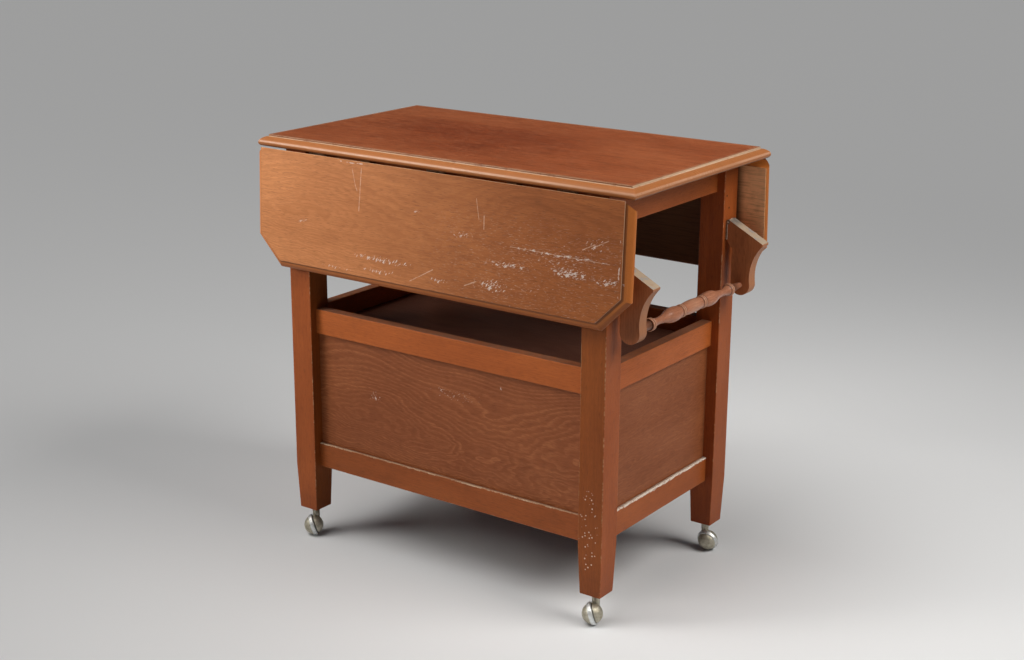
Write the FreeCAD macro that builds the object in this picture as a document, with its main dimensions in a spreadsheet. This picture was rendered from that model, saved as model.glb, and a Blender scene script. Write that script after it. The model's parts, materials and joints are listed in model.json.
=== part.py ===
import FreeCAD, Part
import math
import os

import Sketcher

# Drop leaf tea trolley: an oak frame on ball casters with a gallery tray over a panelled box,
# a moulded top whose two leaves hang on rule joints, and a turned push handle that folds up at one end.
# +Z is up, +X is the handle end and -Y is the front. The origin is on the floor, under the middle.

DOC = FreeCAD.newDocument("tea_trolley")
SHEET = DOC.addObject("Spreadsheet::Sheet", "Sizes")

DRIVING_SIZES = {
    # Top, leaves and the moulding that they share
    "total_height": 740,
    "end_overhang": 53,
    "side_overhang": 12.5,
    "board_thickness": 19,
    "moulding_step": 3,
    "moulding_inset": 1.5,
    "nose_height": 10,
    "nose_radius": 6.6,
    "rule_gap": 0.6,
    "leaf_drop": 207,
    "leaf_clip": 51.5,
    "leaf_lean": 2.5,
    # Leaf hinges
    "leaf_hinge_count": 3,
    "leaf_hinge_inset": 128,
    "leaf_hinge_width": 36,
    "leaf_hinge_plate": 2,
    "leaf_hinge_top_flap": 34,
    "leaf_hinge_leaf_flap": 52,
    "leaf_hinge_pin_radius": 1.6,
    "leaf_hinge_pin_drop": 1.5,
    "leaf_hinge_barrel_radius": 3.4,
    "knuckle_gap": 0.3,
    "barrel_room": 0.6,
    "pin_play": 0.06,
    # Legs
    "leg_span_x": 660,
    "leg_span_y": 411,
    "leg_size": 46,
    "leg_foot_size": 37,
    "leg_foot_height": 53.5,
    # Rails, panels and boards of the box
    "rail_setback": 14.5,
    "rail_thickness": 20,
    "rail_height": 45,
    "apron_height": 58,
    "tray_rail_top": 436,
    "base_rail_top": 184,
    "tenon_thickness": 8,
    "tenon_gap": 1.5,
    "tenon_shoulder": 6,
    "panel_setback": 21,
    "panel_thickness": 6,
    "groove_depth": 6,
    "shelf_thickness": 6,
    "shelf_tongue": 4,
    "shelf_lift": 4,
    # Bearers that slide out under a raised leaf
    "bearer_width": 20,
    "bearer_depth": 32,
    "bearer_tail": 87,
    "bearer_gap": 0.5,
    "front_bearer_inset": 134,
    "back_bearer_inset": 94,
    "glue_block_size": 18,
    "glue_block_length": 60,
    "glue_block_inset": 10,
    # Push handle
    "handle_pin_drop": 127.6,
    "bracket_thickness": 21.5,
    "bracket_inset": 4,
    "bracket_reach": 71,
    "bracket_tip": 3.5,
    "bracket_slope": 27.6,
    "bracket_hollow_radius": 84,
    "bracket_end_radius": 18,
    "bracket_relief_radius": 10,
    "handle_rail_out": 31.5,
    "handle_rail_drop": 106,
    "handle_hinge_offset": 4.2,
    "handle_hinge_plate": 1.6,
    "handle_hinge_flap": 31,
    "handle_hinge_pin_radius": 1.5,
    # Turning of the handle rail, from its middle outwards
    "rail_barrel_half": 29,
    "rail_barrel_radius": 9.5,
    "rail_barrel_swell": 1.8,
    "rail_bead_width": 4.5,
    "rail_bead_swell": 1.5,
    "rail_vase_length": 34,
    "rail_vase_radius": 11.2,
    "rail_vase_swell": 2.1,
    "rail_sweep_length": 27,
    "rail_sweep_hollow": 0.9,
    "rail_neck_radius": 5.9,
    "rail_flare_length": 25,
    "rail_flare_radius": 9.2,
    "rail_flare_hollow": 1.3,
    "rail_spigot_radius": 5.8,
    "rail_tenon_radius": 3.5,
    "rail_tenon_length": 12,
    # Ball casters
    "caster_tilt": 17,
    "caster_trail": 9,
    "tread_radius": 20,
    "tread_crown": 2.5,
    "dome_radius": 17.5,
    "hood_wall": 1.8,
    "hood_gap": 1.5,
    "axle_radius": 3,
    "axle_inset": 8,
    "axle_boss_radius": 5.5,
    "hub_lip": 0.7,
    "neck_radius": 6.5,
    "stem_radius": 4.5,
    "stem_length": 34,
    "socket_radius": 6.2,
    "socket_depth": 36,
    "socket_flange_radius": 13,
    "socket_flange": 1.5,
    "swivel_gap": 0.4,
    "turn_front_left": 43,
    "turn_front_right": 31,
    "turn_back_left": 140,
    "turn_back_right": 92,
}

for row, (alias, value) in enumerate(DRIVING_SIZES.items(), start=1):
    SHEET.set(f"A{row}", alias)
    SHEET.set(f"B{row}", str(value))
    SHEET.setAlias(f"B{row}", alias)
DOC.recompute()


class Size:
    """A size of the trolley: its number now, and the sheet expression that it comes from."""

    def __init__(self, value, text):
        self.value = value
        self.text = text

    @staticmethod
    def of(other):
        if isinstance(other, Size):
            return other
        return Size(float(other), f"({float(other)})")

    def __add__(self, other):
        other = Size.of(other)
        return Size(self.value + other.value, f"({self.text} + {other.text})")

    def __sub__(self, other):
        other = Size.of(other)
        return Size(self.value - other.value, f"({self.text} - {other.text})")

    def __mul__(self, other):
        other = Size.of(other)
        return Size(self.value * other.value, f"({self.text} * {other.text})")

    def __truediv__(self, other):
        other = Size.of(other)
        return Size(self.value / other.value, f"({self.text} / {other.text})")

    def __neg__(self):
        return Size(0, "0") - self

    def __radd__(self, other):
        return Size.of(other) + self

    def __rsub__(self, other):
        return Size.of(other) - self

    def __rmul__(self, other):
        return Size.of(other) * self

    def sine(self):
        return Size(math.sin(math.radians(self.value)), f"sin({self.text})")

    def cosine(self):
        return Size(math.cos(math.radians(self.value)), f"cos({self.text})")

    def root(self):
        return Size(math.sqrt(self.value), f"sqrt({self.text})")


class Sheet:
    """Reads a driving size from the spreadsheet by its alias."""

    def __getattr__(self, alias):
        return Size(float(SHEET.get(alias)), f"Sizes.{alias}")


s = Sheet()

# Levels and lines that many pieces take their place from
deck = s.total_height - s.board_thickness
half_length = s.leg_span_x / 2 + s.end_overhang
half_width = s.leg_span_y / 2 + s.side_overhang
slab_thickness = s.board_thickness - s.moulding_step
moulding_rise = slab_thickness + s.leaf_hinge_pin_drop
moulding_radius = (moulding_rise * moulding_rise + s.moulding_inset * s.moulding_inset).root()
nose_rise = s.nose_height + s.leaf_hinge_pin_drop
thumb_width = (moulding_radius * moulding_radius - nose_rise * nose_rise).root() - s.moulding_inset
nose_reach = s.nose_radius * (thumb_width + s.moulding_inset) / moulding_radius
nose_level = s.nose_height - s.nose_radius * nose_rise / moulding_radius
moulding_width = thumb_width + s.nose_radius - nose_reach
pin_height = deck - s.leaf_hinge_pin_drop
pin_out = half_width - moulding_width + s.rule_gap
tray_rail_foot = s.tray_rail_top - s.rail_height
base_rail_foot = s.base_rail_top - s.rail_height
inner_x = s.leg_span_x / 2 - s.leg_size
inner_y = s.leg_span_y / 2 - s.leg_size
tenon_length = s.leg_size - s.rail_setback - (s.rail_thickness + s.tenon_thickness) / 2 - s.tenon_gap
middle = (s.end_overhang - s.bracket_reach) / 2
handle_face = middle + s.leg_span_x / 2
handle_pin_height = s.total_height - s.handle_pin_drop

NODES = []


def bind(obj, prop, size):
    obj.setExpression(prop, Size.of(size).text)


def place(obj, x=0, y=0, z=0, yaw=0, pitch=0, roll=0):
    """Puts an object at a point, turned by yaw, pitch and roll in degrees."""
    return carry(obj, ((x, y, z), (yaw, pitch, roll)))


def carry(obj, *steps):
    """Places an object by a chain of moves, each a point and its yaw, pitch and roll."""
    moves = []
    for point, turn in steps:
        at = "; ".join(Size.of(value).text for value in point)
        by = "; ".join(Size.of(value).text for value in turn)
        moves.append(f"placement(vector({at}); rotation({by}))")
    obj.setExpression("Placement", " * ".join(moves))
    return obj


def box(name, x, y, z):
    """A block from (low, length) pairs along X, Y and Z."""
    obj = DOC.addObject("Part::Box", name)
    for prop, (low, length) in zip(("Length", "Width", "Height"), (x, y, z)):
        bind(obj, prop, length)
    return place(obj, x[0], y[0], z[0])


def rod(name, radius, length, **where):
    obj = DOC.addObject("Part::Cylinder", name)
    bind(obj, "Radius", radius)
    bind(obj, "Height", length)
    return place(obj, **where)


def ball(name, radius, x, y, z):
    obj = DOC.addObject("Part::Sphere", name)
    bind(obj, "Radius", radius)
    return place(obj, x, y, z)


def fuse(name, *pieces):
    obj = DOC.addObject("Part::MultiFuse", name)
    obj.Shapes = list(pieces)
    obj.Refine = True
    return obj


def common(name, *pieces):
    obj = DOC.addObject("Part::MultiCommon", name)
    obj.Shapes = list(pieces)
    obj.Refine = True
    return obj


def cut(name, base, *tools):
    obj = DOC.addObject("Part::Cut", name)
    obj.Base = base
    obj.Tool = tools[0] if len(tools) == 1 else fuse(name + "_tools", *tools)
    obj.Refine = True
    return obj


def group(name, pieces):
    """Several like solids kept apart in one node."""
    obj = DOC.addObject("Part::Compound", name)
    obj.Links = list(pieces)
    return obj


def node(obj, label):
    obj.Label = label
    NODES.append(obj)
    return obj


def on_side(side, outer, size):
    """The low edge of a piece whose outer face is that far from the middle, on side -1 or +1."""
    return outer - size if side > 0 else -outer


def spread(half):
    """A (low, length) pair centred on the middle."""
    return (-half, half * 2)


def along(direction, run, across, rise):
    """Turns run, across and rise pairs into X, Y and Z pairs, with X counted from the legs' middle."""
    x, y = (run, across) if direction == "x" else (across, run)
    return (middle + x[0], x[1]), y, rise


def origin_plane(body, role):
    return next(plane for plane in body.Origin.OriginFeatures if plane.Role == role)


def new_sketch(body, name, role, lift=0):
    sketch = body.newObject("Sketcher::SketchObject", name)
    sketch.AttachmentSupport = (origin_plane(body, role), [""])
    sketch.MapMode = "FlatFace"
    bind(sketch, "AttachmentOffset.Base.z", lift)
    return sketch


def hold(sketch, kind, *target, size):
    """Adds a dimension whose value follows the sheet."""
    value = math.radians(size.value) if kind == "Angle" else size.value
    index = sketch.addConstraint(Sketcher.Constraint(kind, *target, value))
    sketch.setExpression(f"Constraints[{index}]", size.text)


def runs_forward(shape):
    """Whether the sketch counts a line or arc from the end that it was drawn from."""
    return not isinstance(shape, Part.ArcOfCircle) or shape.Circle.Axis.z > 0


def closed_outline(sketch, corners):
    """Draws a closed outline. A corner is (u, v), or (u, v, swell) where an arc leads on from it."""
    corners = [tuple(Size.of(part) for part in corner) for corner in corners]
    count = len(corners)
    for index, corner in enumerate(corners):
        following = corners[(index + 1) % count]
        start = FreeCAD.Vector(corner[0].value, corner[1].value, 0)
        end = FreeCAD.Vector(following[0].value, following[1].value, 0)
        if len(corner) == 2:
            sketch.addGeometry(Part.LineSegment(start, end), False)
            continue
        chord = end - start
        left = FreeCAD.Vector(-chord.y, chord.x, 0).normalize()
        crest = (start + end) / 2 - left * corner[2].value
        sketch.addGeometry(Part.ArcOfCircle(start, crest, end), False)
    forward = [runs_forward(shape) for shape in sketch.Geometry]
    for index, corner in enumerate(corners):
        before = (index - 1) % count
        here = (index, 1 if forward[index] else 2)
        sketch.addConstraint(Sketcher.Constraint("Coincident", before, 2 if forward[before] else 1, *here))
        for kind, axis, size in (("DistanceX", -2, corner[0]), ("DistanceY", -1, corner[1])):
            if size.value == 0:
                sketch.addConstraint(Sketcher.Constraint("PointOnObject", *here, axis))
            else:
                hold(sketch, kind, -1, 1, *here, size=size)
        if len(corner) == 3:
            following = corners[(index + 1) % count]
            across = following[0] - corner[0]
            up = following[1] - corner[1]
            swell = corner[2] if corner[2].value > 0 else -corner[2]
            hold(sketch, "Radius", index, size=(across * across + up * up) / (swell * 8) + swell / 2)


def pad(body, sketch, length):
    feature = body.newObject("PartDesign::Pad", sketch.Name + "_pad")
    feature.Profile = sketch
    bind(feature, "Length", length)
    return feature


def turned(body, sketch, axis):
    feature = body.newObject("PartDesign::Revolution", sketch.Name + "_turned")
    feature.Profile = sketch
    feature.ReferenceAxis = (sketch, [axis])
    feature.Angle = 360
    return feature


SIDES = {"front": -1, "back": 1, "left": -1, "right": 1}
CORNERS = [(sx, sy) for sy in ("front", "back") for sx in ("left", "right")]


def corner_name(sx, sy):
    return f"{sy}_{sx}"


# Panels, shelf and base board: thin boards held in grooves of the frame
def panel_board(side):
    direction = "x" if side in ("front", "back") else "y"
    half_run = (inner_x if direction == "x" else inner_y) + s.groove_depth
    span = s.leg_span_y if direction == "x" else s.leg_span_x
    across = (on_side(SIDES[side], span / 2 - s.panel_setback, s.panel_thickness), s.panel_thickness)
    foot = s.base_rail_top - s.groove_depth
    rise = (foot, tray_rail_foot + s.groove_depth - foot)
    return box(f"panel_{side}", *along(direction, spread(half_run), across, rise))


def tongued_board(name, foot):
    """A board that fills the frame, with a thinner tongue below in a groove of each rail round it."""
    rail_face = s.rail_setback + s.rail_thickness
    layers = []
    for layer, inset, thickness in (("field", rail_face, s.shelf_thickness),
                                    ("tongue", rail_face - s.groove_depth, s.shelf_tongue)):
        half_x = s.leg_span_x / 2 - inset
        half_y = s.leg_span_y / 2 - inset
        layers.append(box(f"{name}_{layer}", *along("x", spread(half_x), spread(half_y), (foot, thickness))))
    return fuse(name, *layers)


panels = {side: node(panel_board(side), f"panel_{side}") for side in SIDES}
shelf_blank = tongued_board("tray_shelf_blank", tray_rail_foot + s.shelf_lift)
base_blank = tongued_board("base_board_blank", base_rail_foot + s.shelf_lift)


# Bearers: bars that slide through an apron and a middle rail to carry a raised leaf
def bearer_bar(name, side, sx, spare):
    place_x = inner_x - (s.front_bearer_inset if side == "front" else s.back_bearer_inset)
    length = s.leg_span_y / 2 + s.bearer_tail
    width = s.bearer_width + spare * 2
    run = (place_x * SIDES[sx] - width / 2, width)
    across = (on_side(SIDES[side], s.leg_span_y / 2, length), length)
    rise = (deck - s.bearer_gap - s.bearer_depth, s.bearer_depth + spare)
    return box(name, *along("x", run, across, rise))


bearer_ways = []
for sx, side in CORNERS:
    bar_name = f"bearer_{corner_name(sx, side)}"
    node(bearer_bar(bar_name, side, sx, Size.of(0)), bar_name)
    bearer_ways.append(bearer_bar(bar_name + "_way", side, sx, s.bearer_gap))


# Rails and aprons: each has a stub tenon at both ends
tenons = {corner: [] for corner in CORNERS}


def tenoned_rail(name, side, foot, height, *cutters):
    direction = "x" if side in ("front", "back") else "y"
    half_run = inner_x if direction == "x" else inner_y
    span = s.leg_span_y if direction == "x" else s.leg_span_x
    low = on_side(SIDES[side], span / 2 - s.rail_setback, s.rail_thickness)
    bar = box(name + "_bar", *along(direction, spread(half_run), (low, s.rail_thickness), (foot, height)))
    tongue_low = low + (s.rail_thickness - s.tenon_thickness) / 2
    tongue_rise = (foot + s.tenon_shoulder, height - s.tenon_shoulder * 2)
    tongues = []
    for end in ("left", "right") if direction == "x" else ("front", "back"):
        run = (on_side(SIDES[end], half_run + tenon_length, tenon_length), tenon_length)
        tongue = box(f"{name}_tenon_{end}",
                     *along(direction, run, (tongue_low, s.tenon_thickness), tongue_rise))
        tongues.append(tongue)
        tenons[(end, side) if direction == "x" else (side, end)].append(tongue)
    whole = fuse(name + "_whole", bar, *tongues)
    return node(cut(name, whole, *cutters) if cutters else whole, name)


for side in SIDES:
    tenoned_rail(f"base_rail_{side}", side, base_rail_foot, s.rail_height, panels[side], base_blank)
    tenoned_rail(f"tray_rail_{side}", side, tray_rail_foot, s.rail_height, panels[side], shelf_blank)
    notches = [way for way, (sx, sy) in zip(bearer_ways, CORNERS) if sy == side]
    tenoned_rail(f"apron_{side}", side, deck - s.apron_height, s.apron_height, *notches)

middle_half = s.leg_span_x / 2 - s.rail_setback - s.rail_thickness
middle_bar = box("bearer_rail_bar", *along("x", spread(middle_half), spread(s.rail_thickness / 2),
                                           (deck - s.apron_height, s.apron_height)))
node(cut("bearer_rail", middle_bar, *bearer_ways), "bearer_rail")


# Legs: square down to the base rails, then tapered on all four sides, bored for the caster
leg_uppers = []
for sx, sy in CORNERS:
    name = f"leg_{corner_name(sx, sy)}"
    low_x = middle + on_side(SIDES[sx], s.leg_span_x / 2, s.leg_size)
    low_y = on_side(SIDES[sy], s.leg_span_y / 2, s.leg_size)
    upper = box(name + "_upper", (low_x, s.leg_size), (low_y, s.leg_size),
                (base_rail_foot, deck - base_rail_foot))
    taper = DOC.addObject("Part::Wedge", name + "_taper")
    inset = (s.leg_size - s.leg_foot_size) / 2
    for way in "XZ":
        bind(taper, way + "min", 0)
        bind(taper, way + "max", s.leg_size)
        bind(taper, way + "2min", inset)
        bind(taper, way + "2max", s.leg_size - inset)
    bind(taper, "Ymin", 0)
    bind(taper, "Ymax", base_rail_foot - s.leg_foot_height)
    place(taper, low_x, low_y, base_rail_foot, roll=-90)
    bore = rod(name + "_bore", s.socket_radius, s.socket_depth, x=low_x + s.leg_size / 2,
               y=low_y + s.leg_size / 2, z=s.leg_foot_height)
    blank = fuse(name + "_blank", upper, taper)
    node(cut(name, blank, *tenons[(sx, sy)], panels[sx], panels[sy], bore), name)
    leg_uppers.append(upper)

node(cut("tray_shelf", shelf_blank, *leg_uppers), "tray_shelf")
node(cut("base_board", base_blank, *leg_uppers), "base_board")


# Glue blocks: rubbed into the corner between the aprons and the underside of the top
blocks = []
block_rise = (deck - s.glue_block_size, s.glue_block_size)
for side in SIDES:
    direction = "x" if side in ("front", "back") else "y"
    half_run = inner_x if direction == "x" else inner_y
    span = s.leg_span_y if direction == "x" else s.leg_span_x
    face = span / 2 - s.rail_setback - s.rail_thickness
    for end in (-1, 1):
        run = (on_side(end, half_run - s.glue_block_inset, s.glue_block_length), s.glue_block_length)
        across = (on_side(SIDES[side], face, s.glue_block_size), s.glue_block_size)
        blocks.append(box(f"glue_block_{side}_{len(blocks)}", *along(direction, run, across, block_rise)))
node(group("glue_blocks", blocks), "glue_blocks")


# Leaf hinges, drawn about their pin with the leaf raised: +Y runs out along the leaf, X along the pin.
# The pin lies under the line where leaf and top meet. Its barrel is half sunk, the flap on the top is let in
# flush over the apron, and the flap on the leaf lies on the wood.
last_hinge = int(s.leaf_hinge_count.value) - 1
hinge_places = [(half_length - s.leaf_hinge_inset) * (2 * i / last_hinge - 1) for i in range(last_hinge + 1)]
knuckle = s.leaf_hinge_width / 3
top_plate = (s.leaf_hinge_pin_drop, s.leaf_hinge_plate)
leaf_plate = (s.leaf_hinge_pin_drop - s.leaf_hinge_plate, s.leaf_hinge_plate)
throat = s.leaf_hinge_barrel_radius + s.knuckle_gap


def hinge_flap(name, mid, reach, sign, knuckles):
    """One flap: a plate on the top (-1) or leaf (1), and the knuckles at (offset, length) that wrap the pin."""
    half = s.leaf_hinge_width / 2
    plate_rise = leaf_plate if sign > 0 else top_plate
    plate_run = (throat, reach - throat) if sign > 0 else (-reach, reach - throat)
    pieces = [box(name + "_plate", (mid - half, s.leaf_hinge_width), plate_run, plate_rise)]
    for index, (offset, length) in enumerate(knuckles):
        low = mid + offset
        tab_run = (Size.of(0), throat) if sign > 0 else (-throat, throat)
        pieces.append(box(f"{name}_tab{index}", (low, length), tab_run, plate_rise))
        pieces.append(rod(f"{name}_roll{index}", s.leaf_hinge_barrel_radius, length, x=low, pitch=90))
    return fuse(name + "_solid", *pieces)


outer_knuckles = [(-s.leaf_hinge_width / 2, knuckle - s.knuckle_gap),
                  (knuckle / 2 + s.knuckle_gap, knuckle - s.knuckle_gap)]
inner_knuckle = [(-knuckle / 2, knuckle)]


def leaf_hinges(side):
    """The hinges of one leaf: flaps on the top, flaps on the leaf, and pins."""
    top_flaps, leaf_flaps, pins = [], [], []
    for index, mid in enumerate(hinge_places):
        name = f"{side}_hinge{index}"
        start = mid - s.leaf_hinge_width / 2
        pin_radius = s.leaf_hinge_pin_radius
        pin = rod(name + "_pin", pin_radius, s.leaf_hinge_width, x=start, pitch=90)
        bore = rod(name + "_bore", pin_radius + s.pin_play, s.leaf_hinge_width, x=start, pitch=90)
        fixed = hinge_flap(name + "_top", mid, s.leaf_hinge_top_flap, -1, outer_knuckles)
        moving = hinge_flap(name + "_leaf", mid, s.leaf_hinge_leaf_flap, 1, inner_knuckle)
        top_flaps.append(cut(name + "_top_flap", fixed, pin))
        leaf_flaps.append(cut(name + "_leaf_flap", moving, bore))
        pins.append(pin)
    return top_flaps, leaf_flaps, pins


def hinge_housings(side):
    """What is cut from the top's underside for the hinges: plate beds, barrel grooves and room for the flap."""
    housings = []
    room = s.barrel_room
    for index, mid in enumerate(hinge_places):
        name = f"{side}_housing{index}"
        run = (mid - s.leaf_hinge_width / 2, s.leaf_hinge_width)
        wide = (run[0] - room, s.leaf_hinge_width + room * 2)
        housings.append(box(name + "_bed", run, (-s.leaf_hinge_top_flap, s.leaf_hinge_top_flap), top_plate))
        housings.append(rod(name + "_groove", s.leaf_hinge_barrel_radius + room, wide[1], x=wide[0], pitch=90))
        relief = (s.leaf_hinge_pin_drop - room, room * 2)
        housings.append(box(name + "_relief", wide, (Size.of(0), moulding_width + room), relief))
    return fuse(f"{side}_housings", *housings)


LEAF_YAW = {"front": 180, "back": 0}
leaf_fall = s.leaf_lean - 90


def at_pin(obj, side, roll=0):
    """Moves something drawn about the hinge pin to its side of the top."""
    return place(obj, middle, pin_out * SIDES[side], pin_height, yaw=LEAF_YAW[side], roll=roll)


# Top and leaves share one moulding: a raised field, a step, a thumb-shaped arc and a round nose that it runs into.
# A board is what its moulded bars, one for each direction of its edges, have in common.
def arc_swell(radius, across, rise):
    """How far an arc of that radius bows out from its chord."""
    return radius - (radius * radius - (across * across + rise * rise) / 4).root()


def moulded_bar(name, far, run, near=None):
    """A bar along X with the moulding at Y = far, and at -far too unless near gives it a plain edge there."""
    body = DOC.addObject("PartDesign::Body", name)
    section = new_sketch(body, name + "_section", "YZ_Plane", -run / 2)
    nose_foot = (s.nose_radius * s.nose_radius - nose_level * nose_level).root()
    swell = arc_swell(moulding_radius, thumb_width, slab_thickness - s.nose_height)
    nose_swell = arc_swell(s.nose_radius, nose_reach - nose_foot, s.nose_height)
    field = far - moulding_width
    shoulder = field + thumb_width
    foot = far - s.nose_radius + nose_foot
    edge = [(foot, 0, nose_swell), (shoulder, s.nose_height, swell),
            (field, slab_thickness), (field, s.board_thickness)]
    if near is None:
        edge += [(-field, s.board_thickness), (-field, slab_thickness, swell),
                 (-shoulder, s.nose_height, nose_swell), (-foot, 0)]
    else:
        edge += [(near, s.board_thickness), (near, 0)]
    closed_outline(section, edge)
    pad(body, section, run)
    return body


top_long = place(moulded_bar("top_long_edges", half_width, half_length * 2), middle, 0, deck)
top_short = place(moulded_bar("top_short_edges", half_length, half_width * 2), middle, 0, deck, yaw=90)
top_housings = [at_pin(hinge_housings(side), side) for side in LEAF_YAW]
node(cut("top_board", common("top_blank", top_long, top_short), *top_housings), "top_board")


# Leaves: clipped corners, and a cove along the joint that rolls down off the top's moulding
def leaf(side):
    name = f"leaf_{side}"
    lift = s.leaf_hinge_pin_drop
    clip_far = (half_length + s.leaf_drop - s.leaf_clip) * Size.of(0.5).root()
    clip_run = half_length * 2 + s.leaf_drop * 2
    bars = [place(moulded_bar(name + "_foot", s.leaf_drop, half_length * 2, Size.of(0)), z=lift),
            place(moulded_bar(name + "_ends", half_length, s.leaf_drop * 2), z=lift, yaw=90)]
    for clip, yaw in (("left", 45), ("right", -45)):
        bars.append(place(moulded_bar(f"{name}_clip_{clip}", clip_far, clip_run, -half_length), z=lift, yaw=yaw))
    cove = rod(name + "_cove", moulding_radius + s.rule_gap, half_length * 2,
               x=-half_length, y=-(s.moulding_inset + s.rule_gap), pitch=90)
    return at_pin(cut(name, common(name + "_blank", *bars), cove), side, roll=leaf_fall)


for side in LEAF_YAW:
    node(leaf(side), f"leaf_{side}")
    top_flaps, leaf_flaps, pins = leaf_hinges(side)
    node(at_pin(group(f"hinge_top_flaps_{side}", top_flaps), side), f"hinge_top_flaps_{side}")
    leaf_flap_set = at_pin(group(f"hinge_leaf_flaps_{side}", leaf_flaps), side, roll=leaf_fall)
    node(leaf_flap_set, f"hinge_leaf_flaps_{side}")
    node(at_pin(group(f"hinge_pins_{side}", pins), side), f"hinge_pins_{side}")


# Handle brackets: shaped boards that hang from a butt hinge on the end legs.
# The sloping top edge swings round to butt against the leg when the handle is raised.
bracket_out = s.bracket_reach - s.handle_hinge_offset
rail_out = s.handle_rail_out - s.handle_hinge_offset
bracket_line = s.leg_span_y / 2 - s.leg_size / 2 - s.bracket_inset
handle_pin = {side: bracket_line * SIDES[side] for side in LEAF_YAW}


def bracket(side):
    """Drawn in the XZ plane about the hinge pin, X away from the leg."""
    body = DOC.addObject("PartDesign::Body", f"bracket_{side}_body")
    sketch = new_sketch(body, f"bracket_{side}_outline", "XZ_Plane", -s.bracket_thickness / 2)
    socket = s.handle_hinge_offset
    slope = math.radians(s.bracket_slope.value)
    start = FreeCAD.Vector(math.sin(slope), math.cos(slope), 0) * socket.value
    tip_top = FreeCAD.Vector(bracket_out.value, 0, 0)
    tip_top.y = start.y - (tip_top.x - start.x) * math.tan(slope)
    tip_foot = tip_top - FreeCAD.Vector(0, s.bracket_tip.value, 0)
    end = FreeCAD.Vector(rail_out.value, -s.handle_rail_drop.value, 0)
    end_radius = s.bracket_end_radius.value
    heel = end - FreeCAD.Vector(end_radius, 0, 0)
    waist = end + FreeCAD.Vector(end_radius, 0, 0)
    flap_foot = FreeCAD.Vector(0, -s.handle_hinge_flap.value, 0)
    flap_top = FreeCAD.Vector(0, -socket.value, 0)
    step = heel.x
    relief = s.bracket_relief_radius.value
    fall = math.sqrt(max(4 * relief * step - step * step, relief * relief / 4))
    relief_foot = flap_foot + FreeCAD.Vector(step, -fall, 0)
    relief_mid = (flap_foot + relief_foot) / 2

    def arc(a, b, c):
        return Part.ArcOfCircle(a, b, c)

    def bowed(a, b, amount):
        chord = b - a
        return (a + b) / 2 + FreeCAD.Vector(-chord.y, chord.x, 0).normalize() * amount

    butt, tip, hollow, round_end, back, relief_low, relief_high, contact, nest = range(9)
    sketch.addGeometry([
        Part.LineSegment(start, tip_top),
        Part.LineSegment(tip_top, tip_foot),
        arc(tip_foot, bowed(tip_foot, waist, -6), waist),
        arc(waist, end - FreeCAD.Vector(0, end_radius, 0), heel),
        Part.LineSegment(heel, relief_foot),
        arc(relief_foot, bowed(relief_foot, relief_mid, -0.6), relief_mid),
        arc(relief_mid, bowed(relief_mid, flap_foot, 0.6), flap_foot),
        Part.LineSegment(flap_foot, flap_top),
        arc(flap_top, FreeCAD.Vector(1, -1, 0).normalize() * socket.value, start),
    ], False)

    forward = [runs_forward(shape) for shape in sketch.Geometry]

    def end_of(geometry, last):
        """The first or last end of a piece of the outline as drawn, whichever way its arc runs."""
        return (geometry, 2 if last == forward[geometry] else 1)

    corners = [("Coincident", butt, tip), ("Coincident", tip, hollow), ("Coincident", contact, nest)]
    smooth = [(hollow, round_end), (round_end, back), (back, relief_low), (relief_low, relief_high),
              (relief_high, contact), (nest, butt)]
    for kind, first, second in corners + [("Tangent", *pair) for pair in smooth]:
        sketch.addConstraint(Sketcher.Constraint(kind, *end_of(first, True), *end_of(second, False)))
    for upright in (tip, back, contact):
        sketch.addConstraint(Sketcher.Constraint("Vertical", upright))
    sketch.addConstraint(Sketcher.Constraint("Coincident", nest, 3, -1, 1))
    sketch.addConstraint(Sketcher.Constraint("PointOnObject", *end_of(contact, True), -2))
    sketch.addConstraint(Sketcher.Constraint("Equal", relief_low, relief_high))
    hold(sketch, "Radius", nest, size=socket)
    hold(sketch, "Angle", butt, size=-s.bracket_slope)
    hold(sketch, "DistanceX", -1, 1, *end_of(butt, True), size=bracket_out)
    hold(sketch, "DistanceY", *end_of(tip, True), *end_of(tip, False), size=s.bracket_tip)
    hold(sketch, "Radius", hollow, size=s.bracket_hollow_radius)
    hold(sketch, "Radius", round_end, size=s.bracket_end_radius)
    hold(sketch, "DistanceX", -1, 1, round_end, 3, size=rail_out)
    hold(sketch, "DistanceY", -1, 1, round_end, 3, size=-s.handle_rail_drop)
    hold(sketch, "Radius", relief_low, size=s.bracket_relief_radius)
    hold(sketch, "DistanceY", -1, 1, *end_of(contact, False), size=-s.handle_hinge_flap)
    pad(body, sketch, s.bracket_thickness)
    inward = -SIDES[side]
    mouth = s.bracket_thickness / 2
    hole_low = mouth - s.rail_tenon_length if inward > 0 else -mouth
    hole = rod(f"bracket_{side}_hole", s.rail_tenon_radius, s.rail_tenon_length,
               x=rail_out, y=hole_low, z=-s.handle_rail_drop, roll=-90)
    return cut(f"handle_bracket_{side}", body, hole)


def at_handle_pin(obj, side):
    return place(obj, handle_face + s.handle_hinge_offset, handle_pin[side], handle_pin_height)


for side in LEAF_YAW:
    node(at_handle_pin(bracket(side), side), f"handle_bracket_{side}")


# Handle hinges: a small butt hinge in each bracket's upper corner, closed while the handle hangs
barrel_radius = s.handle_hinge_offset - s.knuckle_gap
barrel_part = s.bracket_thickness / 3
leg_knuckles = [(-s.bracket_thickness / 2, barrel_part - s.knuckle_gap),
                (barrel_part / 2 + s.knuckle_gap, barrel_part - s.knuckle_gap)]
bracket_knuckle = [(-barrel_part / 2, barrel_part)]


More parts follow.
